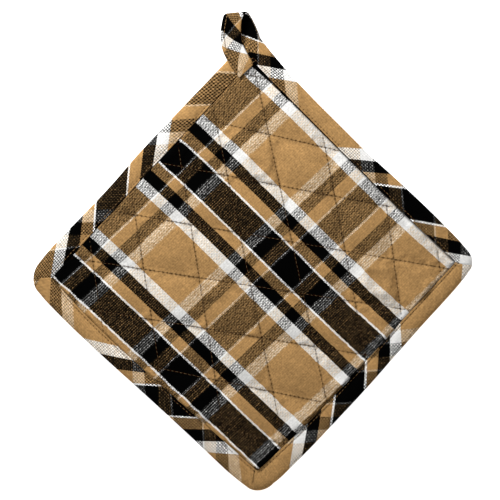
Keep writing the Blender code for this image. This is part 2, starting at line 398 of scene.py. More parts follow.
@dataclass(frozen=True)
class Drift:
    """How far a sewn-down cloth is pushed out of true, as a smooth sheet over the face.

    Attributes:
        terms: powers of the place along and down, from -1 to 1, with millimetres for each.
        limit: how far out, from -1 to 1, the drift goes on changing.
    """

    terms: tuple[tuple[int, int, float], ...]
    limit: float = 0.95

    def at(self, flat: Array) -> Array:
        """The drift in mm at flat points."""
        along, down = np.clip(flat / (FlatSquare.side / 2) - 1, -self.limit, self.limit).T
        return sum(size * along**first * down**second for first, second, size in self.terms)


@dataclass(frozen=True)
class FacePlaid:
    """How the plaid lies on the quilted face, with the slight slant it was cut with.

    Each slant says how far bands run off true for each mm from the line that "from" names.
    """

    along: BandChart = BandChart(
        -5,
        (
            30.9, 31.8, 38.9, 46.3, 53.9, 90.0, 97.4, 104.7, 112.6, 113.5, 132.3, 133.2, 140.6,
            148.2, 155.8, 190.6,
        ),
    )
    down: BandChart = BandChart(
        -2,
        (
            11.5, 18.7, 54.0, 60.7, 67.7, 74.6, 75.5, 93.4, 94.2, 100.7, 107.8, 114.6, 148.8,
            155.4, 162.2, 169.0, 169.9, 187.2, 188.1,
        ),
    )
    along_drift: Drift = Drift(
        (
            (0, 1, 0.29), (0, 2, -0.21), (0, 3, -0.35), (1, 1, -1.21), (1, 2, -0.08),
            (2, 1, 0.80), (1, 3, 0.80), (2, 2, -1.86),
        )
    )
    down_drift: Drift = Drift(
        (
            (1, 0, 1.76), (2, 0, 0.17), (3, 0, -1.93), (1, 1, -0.90), (2, 1, 0.87),
            (1, 2, -1.74), (3, 1, 1.98), (2, 2, -0.63),
        )
    )
    along_slant: float = 0.07
    along_from: float = 20.0
    down_slant: float = -0.009
    down_from: float = 50.0

    def cloth_at(self, flat: Array) -> Array:
        """Rows of (U, V) for flat points of the face.

        Args:
            flat: rows of (along, down).

        Returns:
            Rows of (U, V).
        """
        along = flat[:, 0] + self.along_slant * (flat[:, 1] - self.along_from)
        down = flat[:, 1] + self.down_slant * (flat[:, 0] - self.down_from)
        along, down = along - self.along_drift.at(flat), down - self.down_drift.at(flat)
        return np.stack([self.along.cloth_at(along), self.down.cloth_at(down)], axis=1)


def slanting(first: int, *ends: tuple[float, float]) -> BandChart:
    """Chart of one set of a bias strip's bands, from pairs of (end, lean)."""
    places, leans = zip(*ends)
    return BandChart(first, places, leans, BIAS_RATE)


EDGE_STRIPS = (
    BiasStrip(
        slanting(
            -7, (-47, 2.50), (-45.5, 2.50), (-12.7, 2.50), (-11.2, 2.50), (9.4, 1.62),
            (21.9, 1.53), (33.2, 1.51), (95.1, 1.23), (106.3, 1.33), (117.8, 1.27),
            (128.8, 1.39), (130.8, 1.39), (163.2, 1.56), (165.2, 1.56), (178.2, 1.68),
            (193.1, 1.55),
        ),
        slanting(
            -5, (13.3, 0.98), (14.1, 0.98), (24.3, 0.95), (36.3, 1.25), (47.8, 1.10),
            (101.7, 1.14), (114, 1.20), (126, 1.16), (138.1, 1.17), (139.1, 1.17), (166.7, 1.04),
            (167.7, 1.04), (179.2, 1.04), (189.8, 0.75),
        ),
    ),
    BiasStrip(
        slanting(
            -1, (12.2, 1.19), (69.1, 0.94), (79.3, 1.07), (90.5, 1.22), (100.9, 1.14),
            (102.9, 1.14), (131.2, 1.40), (133.2, 1.40), (145.1, 1.47), (158.4, 1.56),
            (170.6, 1.47),
        ),
        slanting(
            -1, (8.4, 0.80), (62.7, 1.19), (74.6, 1.16), (86, 1.09), (97.3, 1.04), (98.3, 1.04),
            (124.5, 0.98), (125.5, 0.98), (136.5, 0.83), (147.3, 0.96), (158.4, 1.00),
        ),
    ),
    BiasStrip(
        slanting(
            0, (40.3, 1.31), (51.3, 1.16), (62.5, 1.14), (73.3, 1.25), (74.5, 1.25),
            (102.7, 1.23), (104.1, 1.23), (115.9, 1.43), (128.9, 1.69), (142.3, 1.79),
            (216, 1.79),
        ),
        slanting(
            0, (22.3, 1.19), (32.9, 1.07), (43.5, 0.91), (53.8, 1.02), (54.8, 1.02),
            (80.6, 1.10), (81.6, 1.10), (92.8, 0.95), (104.1, 1.10), (114.6, 1.02), (164, 1.01),
            (173.9, 1.03), (183.5, 0.85), (206, 1.00),
        ),
    ),
    BiasStrip(
        slanting(
            0, (24, 1.51), (35.7, 1.56), (48.5, 1.33), (59.7, 1.21), (61.2, 1.21), (89.6, 1.27),
            (91, 1.27), (102.4, 1.35), (114.8, 1.47), (127.6, 1.42), (212, 1.42),
        ),
        slanting(
            -5, (30.4, 1.17), (31.4, 1.17), (42.4, 0.90), (52.7, 0.99), (63.2, 0.98),
            (117.1, 1.05), (127.3, 1.06), (138.2, 1.08), (149.5, 1.01), (150.5, 1.01),
            (177.1, 0.81), (178.1, 0.81), (191.1, 1.05),
        ),
    ),
)


# ---- node trees ----


@dataclass(frozen=True)
class Signal:
    """A number that runs through a node tree; arithmetic on it adds Math nodes."""

    sheet: "NodeSheet"
    socket: Socket

    def __add__(self, other: Any) -> "Signal":
        """Both together."""
        return self.sheet.math("ADD", self, other)

    def __sub__(self, other: Any) -> "Signal":
        """This less the other."""
        return self.sheet.math("SUBTRACT", self, other)

    def __mul__(self, other: Any) -> "Signal":
        """This times the other."""
        return self.sheet.math("MULTIPLY", self, other)

    def __truediv__(self, other: Any) -> "Signal":
        """This over the other."""
        return self.sheet.math("DIVIDE", self, other)

    def __abs__(self) -> "Signal":
        """This without its sign."""
        return self.sheet.math("ABSOLUTE", self)


@dataclass
class NodeSheet:
    """A node tree as it is being drawn up."""

    tree: bpy.types.NodeTree

    def put(
        self, kind: str, feeds: dict[str | int, Any] | None = None, **settings: Any
    ) -> bpy.types.Node:
        """Adds a node.

        Args:
            kind: Blender's name for that kind of node.
            feeds: what goes into its inputs, by their names or numbers.
            settings: its properties.

        Returns:
            The node.
        """
        node = self.tree.nodes.new(kind)
        for name, value in settings.items():
            setattr(node, name, value)
        self.fill(node, feeds or {})
        return node

    def fill(self, node: bpy.types.Node, feeds: dict[str | int, Any]) -> None:
        """Gives a node's inputs their values, or joins them to signals, outputs or other nodes.

        Args:
            node: the node.
            feeds: what goes in, by input; of a node, it is the first output.
        """
        for name, value in feeds.items():
            if isinstance(value, Signal):
                value = value.socket
            if isinstance(value, bpy.types.Node):
                value = value.outputs[0]
            if isinstance(value, bpy.types.NodeSocket):
                self.tree.links.new(value, node.inputs[name])
            else:
                node.inputs[name].default_value = value

    def signal(self, node: bpy.types.Node, output: str | int = 0) -> Signal:
        """One of a node's outputs, to reckon with."""
        return Signal(self, node.outputs[output])

    def math(self, operation: str, *values: Any, clamp: bool = False) -> Signal:
        """Result of a Math node on these values."""
        feeds = dict(enumerate(values))
        return self.signal(self.put("ShaderNodeMath", feeds, operation=operation, use_clamp=clamp))

    def vector(self, x: Any, y: Any, z: Any = 0.0) -> Socket:
        """A vector from its three parts."""
        return self.put("ShaderNodeCombineXYZ", {0: x, 1: y, 2: z}).outputs[0]

    def noise(self, place: Socket, scale: float) -> Signal:
        """Soft noise about 0, from -0.5 to 0.5."""
        feeds = {"Vector": place, "Scale": scale, "Detail": 1.0}
        return self.signal(self.put("ShaderNodeTexNoise", feeds, noise_dimensions="2D"), "Fac") - 0.5

    def random(self, *place: Signal) -> Signal:
        """A random number from 0 to 1 for each whole place, given by one number or two."""
        feeds = {"W": place[0]} if len(place) == 1 else {"Vector": self.vector(*place)}
        kind = f"{len(place)}D"
        return self.signal(self.put("ShaderNodeTexWhiteNoise", feeds, noise_dimensions=kind), "Value")

    def blend(self, share: Any, first: Any, second: Any) -> Socket:
        """Colour between two others."""
        feeds = {"Factor": share, "A": first, "B": second}
        node = self.put("ShaderNodeMix", feeds, data_type="RGBA", clamp_factor=True)
        return next(out for out in node.outputs if out.type == "RGBA")

    def scaled(self, colour: Any, factor: Signal) -> Socket:
        """A colour times a number."""
        feeds = {0: colour, "Scale": factor}
        return self.put("ShaderNodeVectorMath", feeds, operation="SCALE").outputs[0]

    def red(self, colour: Socket) -> Signal:
        """The red of a colour, which tells the three yarns apart."""
        return self.signal(self.put("ShaderNodeSeparateColor", {0: colour}))


def new_tree(name: str, kind: str, ins: dict[str, str], outs: dict[str, str]) -> bpy.types.NodeTree:
    """Makes a node tree with its own inputs and outputs.

    Args:
        name: the tree's name.
        kind: Shader or Geometry.
        ins: names of its inputs, with what each carries.
        outs: the same for its outputs.

    Returns:
        The tree, with no nodes yet.
    """
    tree = bpy.data.node_groups.new(name, f"{kind}NodeTree")
    for way, sockets in (("INPUT", ins), ("OUTPUT", outs)):
        for label, carries in sockets.items():
            socket_type = f"NodeSocket{carries}"
            tree.interface.new_socket(name=label, in_out=way, socket_type=socket_type)
    return tree


def blank_material(name: str) -> tuple[bpy.types.Material, NodeSheet, bpy.types.Node]:
    """A new material, its node tree, and the shader in it.

    Args:
        name: the material's name.

    Returns:
        All three.
    """
    material = bpy.data.materials.new(name)
    material.use_nodes = True
    tree = material.node_tree
    return material, NodeSheet(tree), tree.nodes["Principled BSDF"]


# ---- finishes ----


STRENGTHS = ("Grain", "Lean", "Knot", "Dash", "Slub", "Shade", "Mottle")


@dataclass(frozen=True)
class Weave:
    """A plain weave, worked out in yarns.

    Attributes:
        show_through: how much the yarns across show, next to those down, which lie closer.
        bulge: how far a yarn widens where it lies on top, in yarns.
        black_below: black yarn has less red than this.
        least_contrast: how much two like yarns still show their crossings.
        cloud: scale and depth of the broad clouds in the dye.
        blotch_scale: scale of the smaller blotches.
        shade_on: how strongly light and shade show on black, and how much less on full red.
        haze: light that the darkest yarn still gives back, on a display.
        gamma: from a display's values to light.
        check: how far light and dark crossings lie apart.
        speck: height of a bright speck on black yarn, and how dark it is round it.
    """

    show_through: float = 0.42
    bulge: float = 0.2
    black_below: float = 0.1
    least_contrast: float = 0.05
    cloud: tuple[float, float] = (0.09, 0.12)
    blotch_scale: float = 0.5
    shade_on: tuple[float, float] = (2.47, 2.2)
    haze: float = 0.045
    gamma: float = 2.4
    check: float = 1.3
    speck: tuple[float, float] = (4.0, 0.375)
    # Streaks: how they stray (scale across and down, and size), half waves to a yarn of the dashes
    # and of the lines, and how strongly each shows.
    stray_scale: tuple[float, float] = (0.3, 0.12)
    stray: float = 7.0
    dash_waves: tuple[float, float] = (0.68, 0.215)
    dash_stray: float = 1.4
    dash_lost_on_black: float = 0.7
    line_wave: float = 1.1
    line_stray: float = 0.45
    line_strength: tuple[float, float] = (0.4, 0.35)
    streak_height: float = 2.0
    thick_yarns: float = 0.3

    def build_group(self) -> bpy.types.NodeTree:
        """Draws up the shader group that turns a place on the cloth into its yarns.

        Returns:
            The group: Place and seven strengths in, Colour and Height out.
        """
        ins = {"Place": "Vector", **{name: "Float" for name in STRENGTHS}}
        group = new_tree("woven_plaid", "Shader", ins, {"Colour": "Color", "Height": "Float"})
        sheet = NodeSheet(group)
        given = sheet.put("NodeGroupInput")
        grain, lean, knot, dash, slub, shade, mottle = (sheet.signal(given, name) for name in STRENGTHS)
        parts = sheet.put("ShaderNodeSeparateXYZ", {0: given.outputs["Place"]})
        across, down = sheet.signal(parts, 0), sheet.signal(parts, 1)

        sine_across, cosine_across = self._waves(across)
        sine_down, cosine_down = self._waves(down)
        number_across = sheet.math("FLOOR", across + sine_down * cosine_across * self.bulge)
        number_down = sheet.math("FLOOR", down - sine_across * cosine_down * self.bulge)
        first, first_cover = self._yarn_at(number_across, False)
        second, second_cover = self._yarn_at(number_down, True)
        apart = abs(sheet.red(first) - sheet.red(second))
        contrast = sheet.math("ADD", apart, self.least_contrast, clamp=True)
        on_black = sheet.math("LESS_THAN", sheet.red(second), self.black_below)

        streaks = self._streaks(across, down, contrast, on_black) * dash
        uneven = streaks + self._slubs(number_across, number_down) * slub
        under = first_cover * self.show_through
        share = sheet.math("ADD", under / (under + second_cover), uneven, clamp=True)
        colour = sheet.blend(share, second, first)

        place = sheet.vector(across, down)
        clouds = sheet.noise(place, self.cloud[0]) * self.cloud[1]
        blotches = sheet.noise(place, self.blotch_scale) * mottle
        depth = sheet.red(colour) * -self.shade_on[1] + self.shade_on[0]
        light = (uneven * shade + blotches + clouds) * depth + 1.0
        lit = sheet.scaled(colour, light / (1 + self.haze))
        haze = (self.haze / (1 + self.haze),) * 3
        seen = sheet.put("ShaderNodeVectorMath", {0: lit, 1: haze}, operation="ADD")
        cloth = sheet.put("ShaderNodeGamma", {"Color": seen, "Gamma": self.gamma})
        knots = self._knots(across / grain, down / grain, lean, on_black) * contrast * knot
        checked = sheet.scaled(cloth, sheet.math("MAXIMUM", knots + 1.0, 0.0))
        height = abs(sine_across * sine_down) + streaks * self.streak_height
        sheet.put("NodeGroupOutput", {"Colour": checked, "Height": height})
        return group

    def _waves(self, place: Signal) -> tuple[Signal, Signal]:
        """Sine and cosine that turn half round for each yarn."""
        turn = place * math.pi
        return place.sheet.math("SINE", turn), place.sheet.math("COSINE", turn)

    def _yarn_at(self, number: Signal, down: bool) -> tuple[Socket, Signal]:
        """Colour and cover of the yarn of that number, among those down or those across.

        Args:
            number: the yarn's number.
            down: whether it is one of those that run down.

        Returns:
            Its colour, and how much it hides of those that it crosses.
        """
        sheet = number.sheet
        place = sheet.math("FRACT", (number + 0.5) / float(SETT.repeat))
        ramp = sheet.put("ShaderNodeValToRGB", {"Fac": place})
        ramp.color_ramp.interpolation = "CONSTANT"
        elements = ramp.color_ramp.elements
        elements.remove(elements[1])
        for index, yarn in enumerate(SETT.bands):
            start = SETT.end_of(index - 1) / SETT.repeat
            element = elements.new(start) if index else elements[0]
            element.color = (*yarn.looks, yarn.cover(down))
        return ramp.outputs["Color"], sheet.signal(ramp, "Alpha")

    def _knots(self, columns: Signal, rows: Signal, lean: Signal, on_black: Signal) -> Signal:
        """The crossings as light and dark about 0.

        Args:
            columns: place across, in crossings.
            rows: place down, in crossings.
            lean: how far the crossings run together along the bias.
            on_black: 1 on black yarn, where they are small bright specks, and 0 elsewhere.

        Returns:
            How much lighter or darker each place is.
        """
        sheet = columns.sheet
        sine_across, cosine_across = self._waves(columns)
        sine_down, cosine_down = self._waves(rows)
        on_top = sine_across * sine_down + cosine_across * cosine_down * lean
        checks = on_top * self.check
        raised = sheet.math("MAXIMUM", on_top, 0.0)
        specks = raised * raised * self.speck[0] - self.speck[1]
        pattern = (specks - checks) * on_black + checks
        return pattern * (sheet.random(sheet.math("FLOOR", columns), sheet.math("FLOOR", rows)) + 0.5)

    def _streaks(self, across: Signal, down: Signal, contrast: Signal, on_black: Signal) -> Signal:
        """Fine streaks along the yarns, where thicker ones crowd the rest, about 0.

        Args:
            across: place on the cloth, in yarns.
            down: place on the cloth the other way.
            contrast: how far apart the two yarns look.
            on_black: 1 on black yarn.

        Returns:
            Short dashes and longer lines together.
        """
        sheet = across.sheet
        place = sheet.vector(across * self.stray_scale[0], down * self.stray_scale[1])
        stray = sheet.noise(place, 1.0) * self.stray
        wave_across, wave_down = (wave * math.pi for wave in self.dash_waves)
        wide = sheet.math("SINE", across * wave_across + stray)
        long = sheet.math("SINE", down * wave_down + stray * self.dash_stray)
        dashes = wide * long * contrast * (on_black * -self.dash_lost_on_black + 1.0)
        lines = sheet.math("SINE", across * (self.line_wave * math.pi) + stray * self.line_stray)
        return dashes + lines * (contrast * self.line_strength[1] + self.line_strength[0])

    def _slubs(self, across: Signal, down: Signal) -> Signal:
        """Thick and thin places, crossing by crossing and yarn by yarn, about 0."""
        sheet = across.sheet
        return sheet.random(across, down) - 0.5 + (sheet.random(across) - 0.5) * self.thick_yarns


@dataclass(frozen=True)
class PlaidFinish:
    """A plaid cotton as one piece wears it.

    Attributes:
        name: the material's name.
        grain: yarns to each crossing that can be told from its neighbours.
        lean: how far the crossings run together along the bias.
        knot: how strongly the crossings show, light against dark.
        dash: how strongly the streaks along the yarns show.
        slub: how uneven the crossings look.
        shade: how much of that unevenness is light and shade.
        mottle: how blotchy the cloth is.
        bump: how deep the weave stands, as a share of bump_height.
        bump_height: the weave's greatest relief, in millimetres.
    """

    name: str
    grain: float = 1.0
    lean: float = 0.0
    knot: float = 0.92
    dash: float = 0.27
    slub: float = 0.3
    shade: float = 0.3
    mottle: float = 0.3
    bump: float = 0.3
    bump_height: float = 0.1

    def build(self, group: bpy.types.NodeTree) -> bpy.types.Material:
        """Makes the material round the woven plaid group, darkened by the painted shade stored on the
        piece's points.

        Args:
            group: the group from Weave.

        Returns:
            The material.
        """
        material, sheet, shader = blank_material(self.name)
        cloth = sheet.put("ShaderNodeUVMap", uv_map="cloth")
        strengths = {name: getattr(self, name.lower()) for name in STRENGTHS}
        plaid = sheet.put("ShaderNodeGroup", {"Place": cloth, **strengths}, node_tree=group)
        # Painted shade: the colour is darkened by the shade stored on each point of the piece, in
        # seams, folds and creases.
        painted_shade = sheet.put("ShaderNodeAttribute", attribute_name="painted_shade")
        open_light = sheet.math("SUBTRACT", 1.0, painted_shade.outputs["Fac"])
        relief = {"Strength": self.bump, "Distance": self.bump_height * MM}
        weave = sheet.put("ShaderNodeBump", {**relief, "Height": plaid.outputs["Height"]})
        lit = sheet.scaled(plaid.outputs["Colour"], open_light)
        sheet.fill(shader, {"Base Color": lit, "Normal": weave})
        sheet.fill(shader, {"Roughness": 0.95, "Specular IOR Level": 0.02})
        return material


@dataclass(frozen=True)
class ThreadFinish:
    """Twisted sewing thread, or the painted shade in the pinhole that it is drawn into: a dark colour,
    laid half see-through over the cloth.

    Attributes:
        name: the material's name.
        looks: colour on a display, from 0 to 1.
        cover: how much it hides of the cloth under it.
        gamma: from a display's values to light.
        twist_scale: scale of the twist along the thread.
        in_twist: light left in the hollows of the twist.
    """

    name: str
    looks: tuple[float, float, float]
    cover: float = 1.0
    gamma: float = 2.2
    twist_scale: float = 900.0
    in_twist: float = 0.75

    def build(self) -> bpy.types.Material:
        """Makes the material, with a fine twist along the thread.

        Returns:
            The material.
        """
        material, sheet, shader = blank_material(self.name)
        place = sheet.put("ShaderNodeTexCoord").outputs["Object"]
        twist = sheet.put("ShaderNodeTexNoise", {"Vector": place, "Scale": self.twist_scale})
        colour = tuple(value**self.gamma for value in self.looks)
        dark = tuple(value * self.in_twist for value in colour)
        mixed = sheet.blend(twist.outputs["Fac"], (*dark, 1.0), (*colour, 1.0))
        sheet.fill(shader, {"Base Color": mixed, "Alpha": self.cover})
        sheet.fill(shader, {"Roughness": 0.7, "Specular IOR Level": 0.05})
        return material


# ---- meshes ----


def ripple(run: Array, across: Array, wave: float, seed: float) -> Array:
    """Uneven waves about 0, between -1 and 1, the same each time.

    Args:
        run: place along the piece.
        across: place across it.
        wave: rough length of a wave.
        seed: moves the pattern, so that two pieces differ.

    Returns:
        One value for each place.
    """
    turn = 2 * math.pi / wave
    first = np.sin(turn * run + 1.7 * np.sin(0.37 * turn * across + seed) + 3.1 * seed)
    second = np.sin(0.61 * turn * run - 0.83 * turn * across + 5.3 * seed)
    third = np.sin(1.43 * turn * run + 0.52 * turn * across + 7.9 * seed)
    return (first + 0.8 * second + 0.6 * third) / 2.4


def bell(distance: Array, width: float) -> Array:
    """1 at no distance, falling away smoothly over the width."""
    return np.exp(-((distance / width) ** 2))


def smooth_step(values: Array, low: float, high: float) -> Array:
    """0 below low, 1 above high, and a smooth rise between."""
    share = np.clip((values - low) / (high - low), 0, 1)
    return share * share * (3 - 2 * share)


def put_in_scene(name: str, data: bpy.types.ID) -> bpy.types.Object:
    """Makes an object of that data, at the origin, and links it to the scene."""
    made = bpy.data.objects.new(name, data)
    bpy.context.scene.collection.objects.link(made)
    return made


def point_values(mesh: bpy.types.Mesh, name: str, kind: str, part: str, values: Array) -> None:
    """Stores an attribute of a mesh's points."""
    layer = mesh.attributes.new(name, kind, "POINT")
    layer.data.foreach_set(part, values.astype(np.float32).ravel())


def make_object(
    name: str, points: Array, faces: Sequence[Sequence[int]], cloth: Array, finish: bpy.types.Material
) -> bpy.types.Object:
    """Makes a smooth-shaded piece of cloth from a closed mesh in millimetres.

    Args:
        name: the piece's name.
        points: rows of (x, y, z).
        faces: rings of point numbers.
        cloth: rows of (U, V), one for each corner of each face in turn.
        finish: its material.

    Returns:
        The object, with all its faces turned outwards.
    """
    mesh = bpy.data.meshes.new(name)
    mesh.from_pydata((points * MM).tolist(), [], [list(face) for face in faces])
    layer = mesh.uv_layers.new(name="cloth")
    layer.data.foreach_set("uv", cloth.astype(np.float32).ravel())
    mesh.shade_smooth()
    mesh.validate()
    working = bmesh.new()
    working.from_mesh(mesh)
    bmesh.ops.recalc_face_normals(working, faces=working.faces)
    working.to_mesh(mesh)
    working.free()
    mesh.materials.append(finish)
    return put_in_scene(name, mesh)


def mark_painted_shade(piece: bpy.types.Object, hollows: Array) -> None:
    """Stores each point's painted shade, in a seam or a fold: the share of its colour's light that the
    material takes away, from 0 to 1.
    """
    point_values(piece.data, "painted_shade", "FLOAT", "value", hollows)


def close_loft(rings: int, count: int, closed: bool) -> list[tuple[int, ...]]:
    """Faces of a skin through like rings of points, closed on itself or capped at both ends.

    Args:
        rings: how many rings.
        count: points in each ring.
        closed: whether the last ring joins the first.

    Returns:
        Rings of point numbers.
    """
    faces: list[tuple[int, ...]] = []
    for ring in range(rings if closed else rings - 1):
        here, there = ring * count, (ring + 1) % rings * count
        for index in range(count):
            follow = (index + 1) % count
            faces.append((here + index, here + follow, there + follow, there + index))
    if not closed:
        faces.append(tuple(range(count))[::-1])
        faces.append(tuple((rings - 1) * count + index for index in range(count)))
    return faces


# ---- stitches ----


STITCH_SIZES = ("Pitch", "Thread", "Sink", "Hole")


class StitchPart(Enum):
    """What a run of stitches leaves on the cloth: its thread, and the painted shade in its needle
    holes.
    """

    THREAD = "thread"
    PINHOLE = "pinhole"


@dataclass(frozen=True)
class StitchRun:
    """A machine stitch that follows sewn lines, made by Geometry Nodes.

    Attributes:
        pitch: length from one needle hole to the next.
        thread: the thread's radius.
        sink: how deep its ends are drawn in.
        hole: radius of a needle hole.
        seed: makes this run's unevenness its own.
        leave: share of the pitch before the thread comes out of its hole.
        rise: how high the thread's arc is drawn, in sinks.
        hole_shape: the painted shade cap's length, breadth and depth, in radii.
        askew: how far a stitch may turn each way, in radians.
    """

    pitch: float = 2.6
    thread: float = 0.16
    sink: float = 0.3
    hole: float = 0.58
    seed: int = 3
    leave: float = 0.17
    rise: float = 1.3
    hole_shape: tuple[float, float, float] = (1.05, 0.8, 0.5)
    askew: tuple[float, float, float] = (0.12, 0.05, 0.1)

    def _stitch(self, sheet: NodeSheet, given: bpy.types.Node) -> bpy.types.Node:
        """One stitch: a thread that rises out of one hole and dives into the next.

        Args:
            sheet: the tree it goes into.
            given: that tree's own inputs.

        Returns:
            The node that makes it.
        """
        pitch, sink = sheet.signal(given, "Pitch"), sheet.signal(given, "Sink")
        dive, arc = sink * -1.0, {"Resolution": 4}
        for name, share in (("Start", self.leave), ("End", 1 - self.leave)):
            arc[name] = sheet.vector(pitch * share, 0.0, dive)
        arc["Middle"] = sheet.vector(pitch * 0.5, 0.0, sink * self.rise)
        path = sheet.put("GeometryNodeCurveQuadraticBezier", arc)
        round_thread = {"Resolution": 6, "Radius": given.outputs["Thread"]}
        ring = sheet.put("GeometryNodeCurvePrimitiveCircle", round_thread)
        tube = {"Curve": path, "Profile Curve": ring, "Fill Caps": True}
        return sheet.put("GeometryNodeCurveToMesh", tube)

    def _pinhole(self, sheet: NodeSheet, given: bpy.types.Node) -> bpy.types.Node:
        """The painted shade at a needle hole: a low closed cap, coloured by its dark, half see-through
        finish.
        """
        ball = {"Radius": given.outputs["Hole"], "Subdivisions": 1}
        dent = {"Geometry": sheet.put("GeometryNodeMeshIcoSphere", ball), "Scale": self.hole_shape}
        return sheet.put("GeometryNodeTransform", dent)

    def _tree(self, name: str, part: StitchPart) -> bpy.types.NodeTree:
        """Draws up the node tree that lays one part of the run along its lines.

        Args:
            name: the tree's name.
            part: threads, or the painted shade of the holes.

        Returns:
            The tree.
        """
        sizes = dict.fromkeys(STITCH_SIZES, "Float")
        ins = {"Geometry": "Geometry", **sizes, "Finish": "Material"}
        tree = new_tree(name, "Geometry", ins, {"Geometry": "Geometry"})
        sheet = NodeSheet(tree)
        given = sheet.put("NodeGroupInput")
        lines = sheet.put("GeometryNodeMeshToCurve", {0: given.outputs["Geometry"]})
        even = {"Curve": lines, "Length": given.outputs["Pitch"]}
        places = sheet.put("GeometryNodeResampleCurve", even, mode="LENGTH")
        shape = self._stitch if part is StitchPart.THREAD else self._pinhole

        way = sheet.put("GeometryNodeInputTangent")
        up = sheet.put("GeometryNodeInputNamedAttribute", {"Name": "up"}, data_type="FLOAT_VECTOR")
        axes = {0: way, 1: up.outputs["Attribute"]}
        upright = sheet.put("FunctionNodeAxesToRotation", axes, primary_axis="X", secondary_axis="Z")
        least = tuple(-turn for turn in self.askew)
        range_of = {"Min": least, "Max": self.askew, "Seed": self.seed}
        turn = sheet.put("FunctionNodeRandomValue", range_of, data_type="FLOAT_VECTOR")
        slant = sheet.put("FunctionNodeEulerToRotation", {0: turn})
        both = sheet.put("FunctionNodeRotateRotation", {0: upright, 1: slant}, rotation_space="LOCAL")
        laid = {"Points": places, "Instance": shape(sheet, given), "Rotation": both}
        stitches = sheet.put("GeometryNodeInstanceOnPoints", laid)
        real = sheet.put("GeometryNodeRealizeInstances", {0: stitches})
        dressed = {"Geometry": real, "Material": given.outputs["Finish"]}
        sheet.put("NodeGroupOutput", {0: sheet.put("GeometryNodeSetMaterial", dressed)})
        return tree

    def sew(
        self, name: str, lines: list[tuple[Array, Array]], part: StitchPart, finish: bpy.types.Material
    ) -> bpy.types.Object:
        """Lays stitches, or the painted shade of their holes, along sewn lines.

        Args:
            name: the piece's name.
            lines: for each line, its points in millimetres and the cloth's outward direction there.
            part: threads, or the painted shade of the holes.
            finish: their material.

        Returns:
            A plain mesh object with all of them.
        """
        edges, start = [], 0
        for line, _ in lines:
            edges += [(start + index, start + index + 1) for index in range(len(line) - 1)]
            start += len(line)
        mesh = bpy.data.meshes.new(name + "_lines")
        points = np.concatenate([line for line, _ in lines])
        mesh.from_pydata((points * MM).tolist(), edges, [])
        point_values(mesh, "up", "FLOAT_VECTOR", "vector", np.concatenate([up for _, up in lines]))
        guide = put_in_scene(name + "_guide", mesh)
        tree = self._tree(name + "_tree", part)
        modifier = guide.modifiers.new("stitches", "NODES")
        modifier.node_group = tree
        values = {label: getattr(self, label.lower()) * MM for label in STITCH_SIZES}
        values["Finish"] = finish
        for item in tree.interface.items_tree:
            if item.in_out == "INPUT" and item.name in values:
                modifier[item.identifier] = values[item.name]
        graph = bpy.context.evaluated_depsgraph_get()
        graph.update()
        made = bpy.data.meshes.new_from_object(guide.evaluated_get(graph))
        made.name = name
        if "up" in made.attributes:
            made.attributes.remove(made.attributes["up"])
        guide.modifiers.clear()
        bpy.data.objects.remove(guide, do_unlink=True)
        made.shade_smooth()
        return put_in_scene(name, made)


# ---- cloth simulation ----


@dataclass(frozen=True)
class ClothRun:
    """A short run of Blender's Cloth that lets the face settle between its sewn lines.

    Attributes:
        enlarge: how much larger than life the run is, for the solver's sake.
        frames: length of the run.
        pressure: how hard the filling pushes.
        spare: how much longer the cloth is than the cells need, so that it puckers.
        reach: how far a point may end from where it started, in mm.
    """

    enlarge: float = 20.0
    frames: int = 16
    pressure: float = 3.0
    spare: float = 0.035
    reach: float = 1.1

    def settle(self, points: Array, faces: Sequence[Sequence[int]], held: Array) -> Array:
        """Runs the simulation on a stand-in.

        Args:
            points: rows of (x, y, z) in millimetres.
            faces: rings of point numbers.
            held: which points are sewn down.

        Returns:
            The points where the run leaves them, each within reach of where it was.
        """
        scene = bpy.context.scene
        mesh = bpy.data.meshes.new("cloth_run")
        mesh.from_pydata((points * MM * self.enlarge).tolist(), [], [list(face) for face in faces])
        stand_in = put_in_scene("cloth_run", mesh)
        sewn = stand_in.vertex_groups.new(name="sewn")
        sewn.add(np.flatnonzero(held).tolist(), 1.0, "REPLACE")
        cloth = stand_in.modifiers.new("cloth", "CLOTH")
        settings = cloth.settings
        settings.quality = 5
        settings.mass = 0.2
        settings.tension_stiffness = settings.compression_stiffness = 18.0
        settings.shear_stiffness = 8.0
        settings.bending_stiffness = 0.4
        settings.vertex_group_mass = "sewn"
        settings.use_pressure = True
        settings.uniform_pressure_force = self.pressure
        settings.shrink_min = settings.shrink_max = -self.spare
        settings.effector_weights.gravity = 0.0
        cloth.collision_settings.use_collision = False
        cloth.point_cache.frame_end = self.frames
        for step in range(1, self.frames + 1):
            scene.frame_set(step)
        settled = stand_in.evaluated_get(bpy.context.evaluated_depsgraph_get())
        places = np.empty(len(points) * 3)
        settled.data.vertices.foreach_get("co", places)
        bpy.data.objects.remove(stand_in, do_unlink=True)
        bpy.data.meshes.remove(mesh)
        scene.frame_set(1)
        moved = places.reshape(-1, 3) / (MM * self.enlarge) - points
        length = np.linalg.norm(moved, axis=1)
        LOG.info("cloth run: moves of %.2f mm at most, %.2f mm on average", length.max(), length.mean())
        return points + moved * np.minimum(1.0, self.reach / np.maximum(length, 1e-9))[:, None]


# ---- the quilted pad ----


@dataclass(frozen=True)
class SewnLine:
    """One straight line of quilting: where it crosses the pad's middle, and its slope."""

    middle: float
    slope: float


def sewn_lines(*rows: tuple[float, float]) -> tuple[SewnLine, ...]:
    """A family of sewn lines from rows of (middle, slope)."""
    return tuple(SewnLine(*row) for row in rows)


